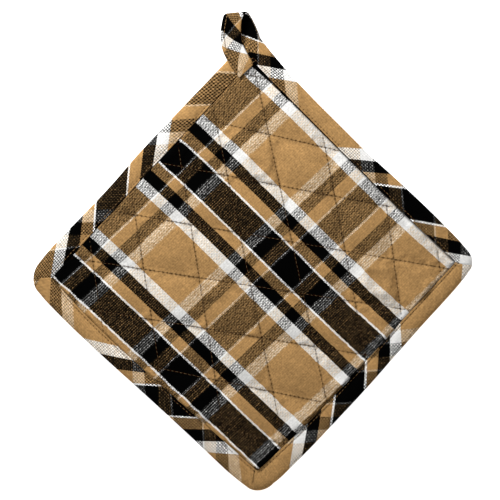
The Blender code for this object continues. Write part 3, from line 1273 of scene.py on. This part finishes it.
@dataclass
class QuiltedPad:
    """The filled pad: both faces, with crowned cells between sewn channels.

    Attributes:
        square: the flat square it is cut to.
        middle: place along the square where the sewn lines' middles are measured.
        falling: the sewn lines that run down as they run along.
        climbing: those that run up.
        plaid: how its cloth lies.
        run: the cloth run that wrinkles its face.
    """

    square: FlatSquare
    middle: float = 107.0
    falling: tuple[SewnLine, ...] = sewn_lines(
        (-80.0, 0.79), (-42.0, 0.79), (-6.4, 0.80), (34.2, 0.71), (73.1, 0.68), (110.6, 0.69),
        (149.5, 0.77), (191.1, 0.77), (230.7, 0.79), (268.5, 0.79),
    )
    climbing: tuple[SewnLine, ...] = sewn_lines(
        (-68.0, -0.55), (-34.0, -0.56), (2.0, -0.58), (34.3, -0.63), (72.8, -0.65), (109.6, -0.67),
        (146.0, -0.65), (180.7, -0.59), (209.2, -0.51), (240.0, -0.45),
    )
    plaid: FacePlaid = FacePlaid()
    run: ClothRun = ClothRun()
    # The mesh: steps between sewn lines, drawn towards them, and rows beside the binding's edge.
    cell_steps: int = 16
    gather: float = 0.05
    rim_share: float = 0.22
    edge_rows: tuple[float, ...] = (-1.4, 0.0, 0.8, 1.6, 2.64)
    edge_gap: float = 0.7
    # Heights over the table: of a crown, a seam and the lip inside the binding, above and below.
    crown_top: float = 7.9
    crown_power: float = 0.6
    seam_top: float = 4.4
    seam_under: float = 0.9
    lip_top: float = 3.6
    lip_under: float = 1.6
    swell_top: float = 0.9
    swell_start: float = 0.5
    swell_under: float = 7.0
    belly: float = 1.5
    # Puckers drawn in beside the seams (depth, place, reach), and slack cloth on the crowns.
    pucker: tuple[float, float, float] = (0.28, 2.2, 2.6)
    slack: float = 0.18
    # How near a seam or the binding the cloth run is held.
    held: tuple[float, float] = (0.3, 1.2)
    # Painted shade in a seam, and inside the binding's fold: how much light the colour loses, where,
    # and how far it reaches.
    seam_shade: tuple[float, float, float] = (0.17, 0.0, 0.8)
    fold_shade: tuple[float, float, float] = (0.85, 0.1, 0.95)
    # Quilting: how often its lines are marked, how far inside the binding, and over the cloth.
    mark_step: float = 0.8
    mark_gap: float = 0.6
    mark_lift: float = 0.12
    fewest_marks: int = 8

    def _line_at(self, family: tuple[SewnLine, ...], at: Array) -> tuple[Array, Array]:
        """Middle and slope of lines, or of ones between two, by their places in the family."""
        numbers = np.arange(len(family))
        middles, slopes = ([line.middle for line in family], [line.slope for line in family])
        return np.interp(at, numbers, middles), np.interp(at, numbers, slopes)

    def crossings(self, falling: Array, climbing: Array) -> Array:
        """Flat points where two lines cross, each given by its place in its family.

        Args:
            falling: places in the falling family.
            climbing: places in the climbing one.

        Returns:
            Rows of (along, down).
        """
        fall, fall_slope = self._line_at(self.falling, falling)
        climb, climb_slope = self._line_at(self.climbing, climbing)
        along = (climb - fall) / (fall_slope - climb_slope)
        return np.stack([self.middle + along, fall + fall_slope * along], axis=1)

    def row_place(self, family: tuple[SewnLine, ...], flat: Array) -> tuple[Array, Array]:
        """Where flat points lie between a family's lines.

        Args:
            family: the sewn lines.
            flat: rows of (along, down).

        Returns:
            The share of the way from one line to the next, and the distance to the nearer one.
        """
        heights = np.stack(
            [flat[:, 1] - line.middle - line.slope * (flat[:, 0] - self.middle) for line in family]
        )
        share, near = np.zeros(len(flat)), np.full(len(flat), self.square.side)
        for index, line in enumerate(family[:-1]):
            above, below = heights[index], heights[index + 1]
            inside = (above >= 0) & (below < 0)
            share = np.where(inside, above / np.maximum(above - below, 1e-6), share)
            flatness = 1 / math.hypot(1, line.slope)
            near = np.where(inside, np.minimum(above, -below) * flatness, near)
        return share, near

    def near_seam(self, flat: Array) -> Array:
        """How far flat points are from the nearest sewn line."""
        families = (self.falling, self.climbing)
        return np.minimum(*(self.row_place(family, flat)[1] for family in families))

    def heights(self, flat: Array, depth: Array) -> tuple[Array, Array]:
        """Height of the underside and of the face.

        Args:
            flat: rows of (along, down).
            depth: how far inside the binding's inner edge each point is.

        Returns:
            The underside's height and the face's.
        """
        fall, _ = self.row_place(self.falling, flat)
        climb, _ = self.row_place(self.climbing, flat)
        crown = np.clip(np.sin(np.pi * fall) * np.sin(np.pi * climb), 0, 1) ** self.crown_power
        swell = 1 - np.exp(-(np.maximum(depth, 0) + self.swell_start) / self.swell_top)
        top = self.seam_top + (self.crown_top - self.seam_top) * crown
        size, place, reach = self.pucker
        drawn = bell(self.near_seam(flat) - place, reach)
        drawn = size * drawn * ripple(flat[:, 0], flat[:, 1], wave=7.0, seed=0.4)
        loose = self.slack * ripple(flat[:, 1], flat[:, 0], wave=17.0, seed=1.9) * crown
        top = self.lip_top + swell * (top - self.lip_top + drawn + loose)
        under = self.seam_under * (1 - np.minimum(1, self.belly * crown))
        settle = np.clip(depth / self.swell_under, 0, 1)
        under = self.lip_under + settle * (under - self.lip_under)
        outside = depth <= 0
        return np.where(outside, self.lip_under, under), np.where(outside, self.lip_top, top)

    def _depth(self, flat: Array, outline: Array) -> Array:
        """How far inside a closed outline flat points lie, minus outside it.

        Args:
            flat: rows of (along, down).
            outline: the same, once round the outline.

        Returns:
            One distance for each point.
        """
        end = np.roll(outline, -1, axis=0)
        way = end - outline
        depth, most = np.empty(len(flat)), 2000
        for first in range(0, len(flat), most):
            part = flat[first : first + most]
            reach = part[:, None, :] - outline[None, :, :]
            share = np.clip((reach * way).sum(axis=2) / (way * way).sum(axis=1), 0, 1)
            gap = np.linalg.norm(reach - share[:, :, None] * way, axis=2).min(axis=1)
            spans = (outline[:, 1] > part[:, None, 1]) != (end[:, 1] > part[:, None, 1])
            rise = np.where(way[:, 1] == 0, 1.0, way[:, 1])
            hit = outline[:, 0] + (part[:, None, 1] - outline[:, 1]) * way[:, 0] / rise
            inside = (spans & (part[:, None, 0] < hit)).sum(axis=1) % 2 == 1
            depth[first : first + most] = np.where(inside, gap, -gap)
        return depth

    def _layout(self) -> tuple[Array, list, Array]:
        """Flat mesh whose edges follow the rim and the sewn lines, and the opening's outline.

        Returns:
            Flat points, triangles of point numbers, and the outline of the binding's inner edge.
        """
        outer, inner, _ = self.square.ring(edge_steps=48, corner_steps=8)
        rim = outer + (inner - outer) * self.rim_share
        reach = np.full(2, self.square.side / 2) - inner
        inwards = reach / np.linalg.norm(reach, axis=1)[:, None]
        rows = [rim, *(inner + inwards * gap for gap in self.edge_rows)]
        count = len(rim)
        points = [tuple(point) for row in rows for point in row]
        edges = []
        for first in range(0, count * len(rows), count):
            edges += [(first + step, first + (step + 1) % count) for step in range(count)]
        shares = np.arange(self.cell_steps) / self.cell_steps
        shares = shares - self.gather * np.sin(2 * np.pi * shares)
        falls = [line + share for line in range(len(self.falling) - 1) for share in shares]
        climbs = [line + share for line in range(len(self.climbing) - 1) for share in shares]
        pairs = np.array([(fall, climb) for fall in falls for climb in climbs])
        spots = self.crossings(pairs[:, 0], pairs[:, 1])
        numbers = {}
        for index in np.flatnonzero(self._depth(spots, rows[-1]) > self.edge_gap):
            numbers[divmod(int(index), len(climbs))] = len(points)
            points.append(tuple(spots[index]))
        for (fall, climb), number in numbers.items():
            if fall % self.cell_steps == 0 and (fall, climb + 1) in numbers:
                edges.append((number, numbers[fall, climb + 1]))
            if climb % self.cell_steps == 0 and (fall + 1, climb) in numbers:
                edges.append((number, numbers[fall + 1, climb]))
        laid, _, triangles, _, _, _ = delaunay_2d_cdt(
            [Vector(point) for point in points], edges, [list(range(count))], 1, 1e-4
        )
        return np.array([tuple(point) for point in laid]), triangles, inner

    def build(self, finish: bpy.types.Material) -> bpy.types.Object:
        """Args:
            finish: its material.

        Returns:
            The quilted face, with its back.
        """
        flat, triangles, opening = self._layout()
        depth = self._depth(flat, opening)
        under, top = self.heights(flat, depth)
        laid = self.square.lay(flat)
        upper = np.column_stack([laid, top])
        by_seam, by_edge = self.held
        sewn = (self.near_seam(flat) < by_seam) | (depth < by_edge)
        upper = self.run.settle(upper, triangles, sewn)
        points = np.concatenate([upper, np.column_stack([laid, np.maximum(under, 0.0)])])
        count = len(flat)
        faces = [tuple(triangle) for triangle in triangles]
        sides = dict.fromkeys((face[step - 1], face[step]) for face in faces for step in (1, 2, 0))
        rim = [pair for pair in sides if pair[::-1] not in sides]
        faces += [tuple(count + index for index in face[::-1]) for face in triangles]
        faces += [(end, start, count + start, count + end) for start, end in rim]
        corners = np.concatenate([np.array(face) % count for face in faces])
        pad = make_object("quilted_face", points, faces, self.plaid.cloth_at(flat)[corners], finish)
        # Painted shade on both faces: darker colour in the sewn channels and under the binding's edge
        # on the upper right.
        mark_painted_shade(pad, np.tile(self._painted_shade(flat, depth), 2))
        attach(pad, "root")
        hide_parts("quilted_pad")
        return pad

    def _painted_shade(self, flat: Array, depth: Array) -> Array:
        """Painted shade in the sewn channels, and under the binding's edge on the upper right.

        Args:
            flat: rows of (along, down).
            depth: how far inside the binding's inner edge each point is.

        Returns:
            The share of light that the painted shade takes from each point's colour.
        """
        lost, place, reach = self.seam_shade
        sewn = lost * bell(self.near_seam(flat) - place, reach)
        lost, place, reach = self.fold_shade
        upper_right = flat[:, 1] < np.minimum(flat[:, 0], self.square.side - flat[:, 0])
        return np.maximum(sewn, lost * bell(depth - place, reach) * upper_right)

    def quilting(self) -> list[tuple[Array, Array]]:
        """The sewn lines on the face, each cut off at the binding's edge.

        Returns:
            For each line, its points and the cloth's outward direction.
        """
        _, opening, _ = self.square.ring(edge_steps=24, corner_steps=4)
        along = np.arange(0.0, self.square.side, self.mark_step)
        lines = []
        for line in self.falling + self.climbing:
            flat = np.column_stack([along, line.middle + line.slope * (along - self.middle)])
            depth = self._depth(flat, opening)
            flat, depth = flat[depth > self.mark_gap], depth[depth > self.mark_gap]
            if len(flat) >= self.fewest_marks:
                _, top = self.heights(flat, depth)
                points = np.column_stack([self.square.lay(flat), top + self.mark_lift])
                lines.append((points, np.tile((0.0, 0.0, 1.0), (len(points), 1))))
        return lines


# ---- the binding ----


@dataclass(frozen=True)
class CreaseShade:
    """Painted shade in the crease by one turned corner.

    Attributes:
        corner: the corner's number; 0 is the right one.
        run: the crease's middle, along the new edge.
        inward: where it begins, in from the new edge.
        lost: share of the light it loses.
        half: half its length along the new edge.
        place: how far past the mitre it is deepest.
        reach: how far it reaches from there.
    """

    corner: int
    run: float
    inward: float
    lost: float
    half: float = 4.0
    place: float = -0.45
    reach: float = 0.6


@dataclass
class EdgeBinding:
    """The bias strip folded over the pad's rim, with its mitred corners and topstitch.

    Attributes:
        square: the flat square it is sewn round.
        section: share of the width from the outer edge, and height, at each point. It runs from
            the inner fold over the top, round the outer edge, along the underside, and back
            inside the fold.
        top_points: points of the section before its outermost one.
        mitres: for each corner but the loop's, where the old strip gives way to the new one, as
            pairs of (run, inward) on the new edge.
        fold_step: how high the folded strip's end stands at those corners.
        creases: painted shade in the mitre at the foot and beside the left corner's folded end.
        lip_lost: painted shade at the inner edge's first points, where it turns under: the light they
            lose.
        strips: how the plaid lies on each edge's strip.
    """

    square: FlatSquare
    edge_steps: int = 250
    corner_steps: int = 36
    section: tuple[tuple[float, float], ...] = (
        (1.0, 4.35), (0.988, 4.8), (0.965, 5.02), (0.94, 5.08), (0.90, 5.06), (0.87, 4.98),
        (0.845, 4.93), (0.82, 5.0), (0.785, 5.12), (0.72, 5.34), (0.62, 5.52), (0.50, 5.6),
        (0.38, 5.56), (0.27, 5.42), (0.18, 5.18), (0.11, 4.82), (0.06, 4.36), (0.025, 3.8),
        (0.005, 3.2), (0.0, 2.6), (0.01, 1.95), (0.035, 1.3), (0.075, 0.75), (0.13, 0.35),
        (0.20, 0.1), (0.30, 0.0), (0.45, 0.0), (0.60, 0.0), (0.75, 0.0), (0.845, 0.12),
        (0.90, 0.0), (0.97, 0.05), (1.0, 0.35), (1.0, 0.9), (0.97, 1.2), (0.19, 1.2),
        (0.14, 1.9), (0.12, 2.9), (0.14, 3.6), (0.19, 4.0), (0.97, 4.0),
    )
    top_points: int = 19
    width: float = 11.6
    stitch_inset: float = 1.55
    stitch_pitch: float = 2.6
    stitch_height: float = 5.01
    mitres: tuple[tuple[tuple[float, float], ...], ...] = (
        ((-4.0, -4.0), (0.0, -1.0), (6.0, 3.0), (10.0, 7.5), (12.5, 12.5), (20.0, 24.0)),
        ((-4.0, -6.0), (0.0, -3.0), (11.0, 4.0), (15.0, 9.5), (17.0, 13.0), (24.0, 24.0)),
        ((-4.0, 10.8), (3.0, 9.0), (8.5, 7.3), (14.0, 12.5), (22.0, 22.0)),
    )
    mitre_reach: float = 26.0
    loop_mitre_reach: float = 20.0
    fold_step: tuple[float, ...] = (0.45, 0.5, 0.7)
    fold_middle: float = 11.0
    fold_reach: float = 9.0
    fold_rise: tuple[float, float] = (-0.35, 0.25)
    fold_fall: float = 5.0
    fold_span: float = 30.0
    # Dents and swells of the top: how deep or high, where, and how far each reaches.
    fold_dent: tuple[float, float, float] = (0.5, -0.5, 0.6)
    pull: tuple[float, float] = (0.2, 0.9)
    drag: tuple[float, float, float] = (0.13, 6.5, 4.0)
    sway: float = 0.16
    relief_from: tuple[float, float] = (0.02, 0.2)
    creases: tuple[CreaseShade, ...] = (
        CreaseShade(corner=1, run=14.5, inward=4.0, lost=0.85),
        CreaseShade(corner=2, run=5.5, inward=3.5, lost=0.78),
    )
    lip_lost: tuple[float, ...] = (0.75, 0.5)
    strips: tuple[BiasStrip, ...] = EDGE_STRIPS

    def _turned_out(self) -> Array:
        """How much further out on the flat cloth each point of the section is than it lies now.

        Returns:
            Millimetres for each point of the section.
        """
        section = np.array(self.section)
        inward = section[:, 0] * self.width
        steps = np.hypot(np.diff(inward), np.diff(section[:, 1]))
        arc = np.concatenate([[0.0], np.cumsum(steps)])
        on_top = np.arange(len(arc)) < self.top_points
        return np.where(on_top, 0.0, arc[self.top_points] - arc - inward)

    def _corner_gap(self, corner: int, flat: Array) -> Array:
        """How far flat points are, along or down, from the corner that ends an edge."""
        return np.abs(flat - self.square.on_edge(corner, self.square.side, 0.0)).max(axis=1)

    def _past_mitre(self, corner: int, flat: Array) -> tuple[Array, Array, Array]:
        """Run and inward place by a corner's new edge, and how far on the old strip's side.

        Args:
            corner: the corner's number; 0 is the right one.
            flat: rows of (along, down).

        Returns:
            These three, for each point.
        """
        run, inward = self.square.from_edge(corner + 1, flat)
        mitre = np.array(self.mitres[corner])
        return run, inward, inward - np.interp(run, mitre[:, 0], mitre[:, 1])

    def _fold(self, corner: int, flat: Array) -> Array:
        """Extra height by a corner's fold, where one strip's end lies over the other.

        Args:
            corner: the corner's number; 0 is the right one.
            flat: rows of (along, down).

        Returns:
            Millimetres for each point.
        """
        run, inward, over = self._past_mitre(corner, flat)
        step = self.fold_step[corner]
        for place in (run, inward):
            step = step * bell(place - self.fold_middle, self.fold_reach)
        edge = smooth_step(over, *self.fold_rise) * np.exp(-np.maximum(over, 0) / self.fold_fall)
        size, place, reach = self.fold_dent
        return step * (edge - size * bell(over - place, reach))

    def _painted_shade(self, flat: Array) -> Array:
        """Painted shade in the creases by the corners.

        Args:
            flat: rows of (along, down).

        Returns:
            The share of light that the painted shade takes from each point's colour.
        """
        hollows = np.zeros(len(flat))
        for crease in self.creases:
            run, inward, over = self._past_mitre(crease.corner, flat)
            near = smooth_step(crease.half - np.abs(run - crease.run), 0.0, 1.2)
            near = near * smooth_step(inward, crease.inward, crease.inward + 2.0)
            shade = crease.lost * near * bell(over - crease.place, crease.reach)
            hollows = np.maximum(hollows, shade)
        return hollows

    def _relief(self, flat: Array, edge: int, share: Array) -> Array:
        """Small ups and downs of the strip's top: pulled-in stitches and soft drag lines.

        Args:
            flat: rows of (along, down).
            edge: the edge they lie by.
            share: shares of the width from that edge.

        Returns:
            Millimetres for each point.
        """
        run, _ = self.square.from_edge(edge, flat)
        inward = share * self.width
        beat = 0.5 - 0.5 * np.cos(2 * np.pi * run / self.stitch_pitch)
        size, reach = self.pull
        pulled = size * beat * bell(inward - (self.width - self.stitch_inset), reach)
        size, place, reach = self.drag
        lines = ripple(run + 0.6 * inward, inward, wave=9.0, seed=edge + 0.3)
        dragged = size * lines * bell(inward - place, reach)
        sway = self.sway * ripple(run, inward * 0.2, wave=33.0, seed=edge + 2.1)
        return (dragged + sway - pulled) * smooth_step(share, *self.relief_from)

    def build(self, finish: bpy.types.Material) -> bpy.types.Object:
        """Args:
            finish: its material.

        Returns:
            The binding.
        """
        outer, inner, edges = self.square.ring(self.edge_steps, self.corner_steps)
        section = np.array(self.section)
        rings, count = len(outer), len(section)
        flat = outer[:, None, :] + (inner - outer)[:, None, :] * section[None, :, :1]
        flat = flat.reshape(-1, 2)
        shares, heights = np.tile(section, (rings, 1)).T
        number, edge_of = np.tile(np.arange(count), rings), np.repeat(edges, count)
        on_top = number < self.top_points
        for edge in range(4):
            here = on_top & (edge_of == edge)
            heights[here] += self._relief(flat[here], edge, shares[here])
        for corner in range(len(self.mitres)):
            near = on_top & (self._corner_gap(corner, flat) < self.fold_span)
            heights[near] += self._fold(corner, flat[near]) * smooth_step(shares[near], 0.0, 0.25)
        points = np.column_stack([self.square.lay(flat), heights])
        faces = close_loft(rings, count, closed=True)
        cloth = self._dress(np.array(faces), flat, edge_of, self._turned_out()[number])
        binding = make_object("bias_binding", points, faces, cloth, finish)
        # Painted shade: darker colour in the corner creases and along the inner edge where the strip
        # turns under.
        lip = np.append(self.lip_lost, 0.0)[np.minimum(number, len(self.lip_lost))]
        mark_painted_shade(binding, np.maximum(np.where(on_top, self._painted_shade(flat), 0.0), lip))
        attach(binding, "root")
        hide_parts("edge_binding")
        return binding

    def _dress(self, faces: Array, flat: Array, edge_of: Array, turned_out: Array) -> Array:
        """Works out the cloth places of every corner of every face, strip by strip.

        Args:
            faces: rows of point numbers.
            flat: flat place of each point.
            edge_of: the edge whose station each point belongs to.
            turned_out: how much further out each point is on the flat cloth.

        Returns:
            Rows of (U, V).
        """
        centres = flat[faces].mean(axis=1)
        strip = edge_of[faces[:, 0]].copy()
        for corner in range(len(self.mitres)):
            near = self._corner_gap(corner, centres) < self.mitre_reach
            old = self._past_mitre(corner, centres)[2] > 0
            strip[near] = np.where(old[near], corner, corner + 1)
        near = self._corner_gap(3, centres) < self.loop_mitre_reach
        strip[near] = np.where(centres[near, 0] > centres[near, 1], 0, 3)
        corners = faces.reshape(-1)
        which = np.repeat(strip, faces.shape[1])
        cloth = np.zeros((len(corners), 2))
        for edge, bias_strip in enumerate(self.strips):
            mine = which == edge
            numbers = corners[mine]
            run, inset = self.square.from_edge(edge, flat[numbers])
            cloth[mine] = bias_strip.cloth_at(run, inset + turned_out[numbers])
        return cloth

    def topstitch(self) -> list[tuple[Array, Array]]:
        """The line of topstitching just outside the inner fold, once round.

        Returns:
            The line's points, and the cloth's outward direction there.
        """
        outer, inner, edges = self.square.ring(edge_steps=160, corner_steps=10)
        share = 1 - self.stitch_inset / self.width
        flat = outer + (inner - outer) * share
        height = np.full(len(flat), self.stitch_height)
        for edge in range(4):
            here = edges == edge
            height[here] += self._relief(flat[here], edge, np.full(here.sum(), share))
        points = np.column_stack([self.square.lay(flat), height])
        return [(points, np.tile((0.0, 0.0, 1.0), (len(points), 1)))]


# ---- the hanging loop ----


@dataclass
class HangingLoop:
    """The strip's tail: out of the corner, over the top fold, and down to its sewn end.

    rows hold, from the root on, x, y and z of the strip's middle from the pad's middle, the
    direction of its width in degrees, the width, and the share of its full thickness. fold_row
    is the row at the top fold. The edge stitch leaves out the steps that unsewn counts, after
    the fold and before the end.
    """

    square: FlatSquare
    rows: tuple[tuple[float, ...], ...] = (
        (5.6, 135.6, 3.9, 26.0, 9.0, 0.8),
        (4.7, 138.2, 4.5, 24.0, 11.6, 0.8),
        (3.8, 141.0, 4.1, 21.5, 13.0, 0.8),
        (2.5, 146.0, 2.1, 16.0, 13.0, 0.9),
        (0.7, 151.6, 1.1, 12.0, 12.6, 1.0),
        (-1.3, 155.8, 1.5, 9.0, 12.8, 1.0),
        (-3.4, 158.9, 3.2, 6.0, 13.4, 1.0),
        (-4.9, 159.4, 5.6, 3.0, 13.6, 1.0),
        (-6.5, 157.4, 7.8, 1.0, 12.4, 1.0),
        (-7.7, 152.8, 8.5, 0.0, 12.2, 1.0),
        (-8.3, 147.4, 8.2, 0.0, 12.8, 1.0),
        (-8.2, 142.6, 7.6, 5.0, 12.8, 1.0),
        (-7.1, 137.6, 7.2, 11.0, 13.4, 1.0),
        (-4.7, 132.2, 7.0, 15.0, 13.4, 1.0),
        (-1.5, 126.8, 6.6, 26.0, 12.8, 1.0),
        (0.3, 123.2, 6.1, 41.0, 12.0, 1.0),
    )
    steps: int = 9
    thickness: float = 1.5
    fold_row: int = 7
    outline_steps: int = 14
    front: BiasStrip = BiasStrip(
        slanting(0, (-25.1, 0.7), (-17.2, 0.9), (-6.9, 1.07), (2.2, 1.3), (5.2, 1.3)),
        slanting(-5, (11.9, 1.2), (12.7, 1.2), (19.6, 0.85), (31.1, 1.4), (37.3, 0.7), (75, 0.7)),
    )
    edge_power: float = 5.0
    waviness: float = 0.12
    seam_dent: tuple[float, float] = (0.2, 0.8)
    stitch_inset: float = 2.4
    end_inset: float = 0.8
    end_steps: int = 12
    unsewn: tuple[int, int] = (2, 6)

    def _frames(self) -> tuple[Array, Array, Array, Array]:
        """Middle, width direction, width and thickness of the strip, at even steps.

        Returns:
            All four, with one row for each step.
        """
        stations = range(len(self.rows))
        count = (len(self.rows) - 1) * self.steps + 1
        at = [step / self.steps for step in range(count)]
        columns = [[curve_through(stations, one, a) for a in at] for one in zip(*self.rows)]
        x, y, z, turn, width, share = np.array(columns)
        across = np.stack([np.cos(np.radians(turn)), np.sin(np.radians(turn)), 0 * turn], axis=1)
        return np.stack([x, y, z], axis=1), across, width, share * self.thickness

    def _ups(self, middle: Array, across: Array) -> Array:
        """The strip's own upward direction at each step; it turns over with the fold."""
        way = np.gradient(middle, axis=0)
        up = np.cross(across, way)
        return up / np.linalg.norm(up, axis=1)[:, None]

    def _outline(self) -> Array:
        """The strip's section: shares of half its width and of half its thickness, once round.

        Returns:
            Rows of (share of half the width, share of half the thickness).
        """
        reach = np.linspace(-1, 1, self.outline_steps + 1)
        reach = np.sign(reach) * np.abs(reach) ** 0.8
        puffed = (1 - np.abs(reach) ** self.edge_power) ** 0.5
        top, under = np.column_stack([reach, puffed]), np.column_stack([reach, -puffed])[::-1]
        return np.concatenate([top[:-1], under[:-1]])

    def build(self, finish: bpy.types.Material) -> bpy.types.Object:
        """Args:
            finish: its material.

        Returns:
            The strip.
        """
        middle, across, width, thick = self._frames()
        up = self._ups(middle, across)
        outline = self._outline()
        rings, count = len(middle), len(outline)
        reach, rise = np.tile(outline, (rings, 1)).T
        ring = np.repeat(np.arange(rings), count)
        steps = np.linalg.norm(np.diff(middle, axis=0), axis=1)
        length = np.concatenate([[0.0], np.cumsum(steps)])
        from_fold = length[ring] - length[self.fold_row * self.steps]
        offset = reach * width[ring] / 2
        wavy = self.waviness * ripple(from_fold, offset, wave=8.0, seed=0.8)
        dent, span = self.seam_dent
        seam = dent * bell(offset + width[ring] / 2 - self.stitch_inset, span)
        lift = rise * (thick[ring] / 2 + wavy - seam)
        points = middle[ring] + across[ring] * offset[:, None] + up[ring] * lift[:, None]
        points = points + (*self.square.shift, 0.0)
        faces = close_loft(rings, count, closed=False)
        corners = np.concatenate([np.array(face) for face in faces])
        cloth = self._dress(points, from_fold, offset, rise)[corners]
        loop = make_object("hanging_strip", points, faces, cloth, finish)
        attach(loop, "root")
        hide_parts("hanging_loop")
        return loop

    def _dress(self, points: Array, from_fold: Array, offset: Array, rise: Array) -> Array:
        """Works out each point's cloth place.

        The strip's outer side carries on from the right upper edge's binding; its other side,
        which shows once it has turned over, has its own chart.

        Args:
            points: where the points lie.
            from_fold: how far along the strip from the top fold each one is.
            offset: how far across it, from its middle.
            rise: above 0 on the outer side.

        Returns:
            Rows of (U, V).
        """
        run, inset = self.square.from_edge(0, self.square.flatten(points[:, :2]))
        inward = offset + CHART_DEPTH
        rising = self.front.rising.cloth_across(-from_fold, inward, 1.0)
        falling = self.front.falling.cloth_across(from_fold, inward, 1.0)
        front = np.stack([falling, rising], axis=1)
        return np.where(rise[:, None] <= 0, front, EDGE_STRIPS[0].cloth_at(run, inset))

    def stitching(self) -> list[tuple[Array, Array]]:
        """The edge stitch down the front leg's open side, and the line across its end.

        Returns:
            For each line, its points and the cloth's outward direction.
        """
        middle, across, width, thick = self._frames()
        up = self._ups(middle, across)
        surface = middle - up * (thick / 2)[:, None] + (*self.square.shift, 0.0)
        side = surface + across * (self.stitch_inset - width / 2)[:, None]
        after_fold, before_end = self.unsewn
        sewn = slice(self.fold_row * self.steps + after_fold, -before_end)
        row = -before_end - 1
        reach = width[row] / 2 - self.end_inset
        end = surface[row] + across[row] * np.linspace(-reach, reach, self.end_steps)[:, None]
        return [(side[sewn], -up[sewn]), (end, np.tile(-up[row], (len(end), 1)))]


# ---- the studio ----


@dataclass(frozen=True)
class SoftLight:
    """A soft box: where it hangs, its size and its power, in metres and watts."""

    name: str
    place: tuple[float, float, float]
    size: float
    power: float


@dataclass
class Studio:
    """A plain pale floor, soft light from overhead, and a camera straight above.

    aim is the spot under the camera and frame_width what its picture takes in, in millimetres,
    and roll is how far it is turned, in degrees.
    """

    aim: tuple[float, float] = (-1.217, 0.607)
    roll: float = -2.08
    frame_width: float = 311.5
    lens: float = 180.0
    floor_looks: tuple[float, float, float] = (0.95, 0.95, 0.95)
    floor_glow: float = 0.9
    sky: float = 0.2
    lights: tuple[SoftLight, ...] = (
        SoftLight("key_box", (-0.26, 0.50, 0.47), 0.22, 6.1),
        SoftLight("top_box", (0.1, 0.0, 1.6), 1.2, 3.6),
    )

    def build(self) -> None:
        """Sets up floor, lights, sky and camera."""
        self._floor()
        for light in self.lights:
            self._light(light)
        world = bpy.data.worlds.new("studio_sky")
        world.use_nodes = True
        sky = {"Color": (1.0, 1.0, 1.0, 1.0), "Strength": self.sky}
        NodeSheet(world.node_tree).fill(world.node_tree.nodes["Background"], sky)
        bpy.context.scene.world = world
        bpy.context.scene.view_settings.view_transform = "Standard"
        self._camera()

    def _floor(self) -> None:
        """A wide round floor just under the pad."""
        working = bmesh.new()
        bmesh.ops.create_circle(working, cap_ends=True, segments=64, radius=6.0)
        mesh = bpy.data.meshes.new("floor")
        working.to_mesh(mesh)
        working.free()
        material, sheet, shader = blank_material("pale_floor")
        looks = {"Base Color": (*self.floor_looks, 1.0), "Roughness": 0.9, "Specular IOR Level": 0.0}
        glow = {"Emission Color": (1.0, 1.0, 1.0, 1.0), "Emission Strength": self.floor_glow}
        sheet.fill(shader, looks | glow)
        mesh.materials.append(material)
        floor = put_in_scene("floor", mesh)
        floor.location.z = -0.3 * MM

    def _light(self, light: SoftLight) -> None:
        """Hangs one soft box, aimed at the pad.

        Args:
            light: the soft box.
        """
        data = bpy.data.lights.new(light.name, "AREA")
        data.shape = "DISK"
        data.size = light.size
        data.energy = light.power
        lamp = put_in_scene(light.name, data)
        lamp.location = light.place
        lamp.rotation_euler = Vector(light.place).to_track_quat("Z", "Y").to_euler()

    def _camera(self) -> None:
        """A long lens that looks straight down, rolled as the pad lies."""
        data = bpy.data.cameras.new("camera")
        data.lens = self.lens
        data.clip_start, data.clip_end = 0.1, 20.0
        camera = put_in_scene("camera", data)
        distance = self.frame_width * MM * self.lens / data.sensor_width
        camera.location = (self.aim[0] * MM, self.aim[1] * MM, distance)
        camera.rotation_euler = (0.0, 0.0, math.radians(self.roll))
        bpy.context.scene.camera = camera


# ---- all together ----


def report(piece: bpy.types.Object) -> bpy.types.Object:
    """Logs a piece's size and passes it on.

    Args:
        piece: the piece.

    Returns:
        The same piece.
    """
    mesh = piece.data
    LOG.info("%s: %d faces, %d points", piece.name, len(mesh.polygons), len(mesh.vertices))
    return piece


def main() -> None:
    """Builds the pot holder piece by piece, then the studio round it."""
    logging.basicConfig(level=logging.INFO, format="%(name)s: %(message)s")
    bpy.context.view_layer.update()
    square = FlatSquare()
    group = Weave().build_group()
    thread = ThreadFinish("brown_thread", (0.58, 0.46, 0.31)).build()
    sunk_thread = ThreadFinish("sunk_thread", (0.47, 0.39, 0.28)).build()
    # Painted shade for the needle holes: dark, half see-through caps over the cloth.
    shade = ThreadFinish("painted_needle_hole_shade", (0.22, 0.11, 0.04), cover=0.48).build()

    pad = QuiltedPad(square)
    report(pad.build(PlaidFinish("quilted_plaid").build(group)))
    binding = EdgeBinding(square)
    on_bias = PlaidFinish("bias_plaid", grain=1.35, lean=0.08, knot=1.55, dash=0.1, slub=0.2)
    ring = report(binding.build(on_bias.build(group)))
    loop = HangingLoop(square)
    on_strip = PlaidFinish("strip_plaid", grain=1.3, lean=0.0, knot=1.2, dash=0.1, slub=0.2)
    strip = report(loop.build(on_strip.build(group)))

    runs = {
        "quilting": (StitchRun(pitch=2.7, thread=0.115, hole=0.74, seed=5), pad.quilting()),
        "topstitch": (StitchRun(pitch=binding.stitch_pitch, seed=8), binding.topstitch()),
        "loop_stitch": (StitchRun(pitch=2.3, hole=0.36, seed=11), loop.stitching()),
    }
    sewn = {name: [] for name in runs}
    for name, (run, lines) in runs.items():
        threads = sunk_thread if name == "quilting" else thread
        for part, finish in ((StitchPart.THREAD, threads), (StitchPart.PINHOLE, shade)):
            piece = run.sew(f"{name}_{part.value}", lines, part, finish)
            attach(piece, "root")
            sewn[name].append(report(piece))
    Studio().build()


if __name__ == "__main__":
    main()
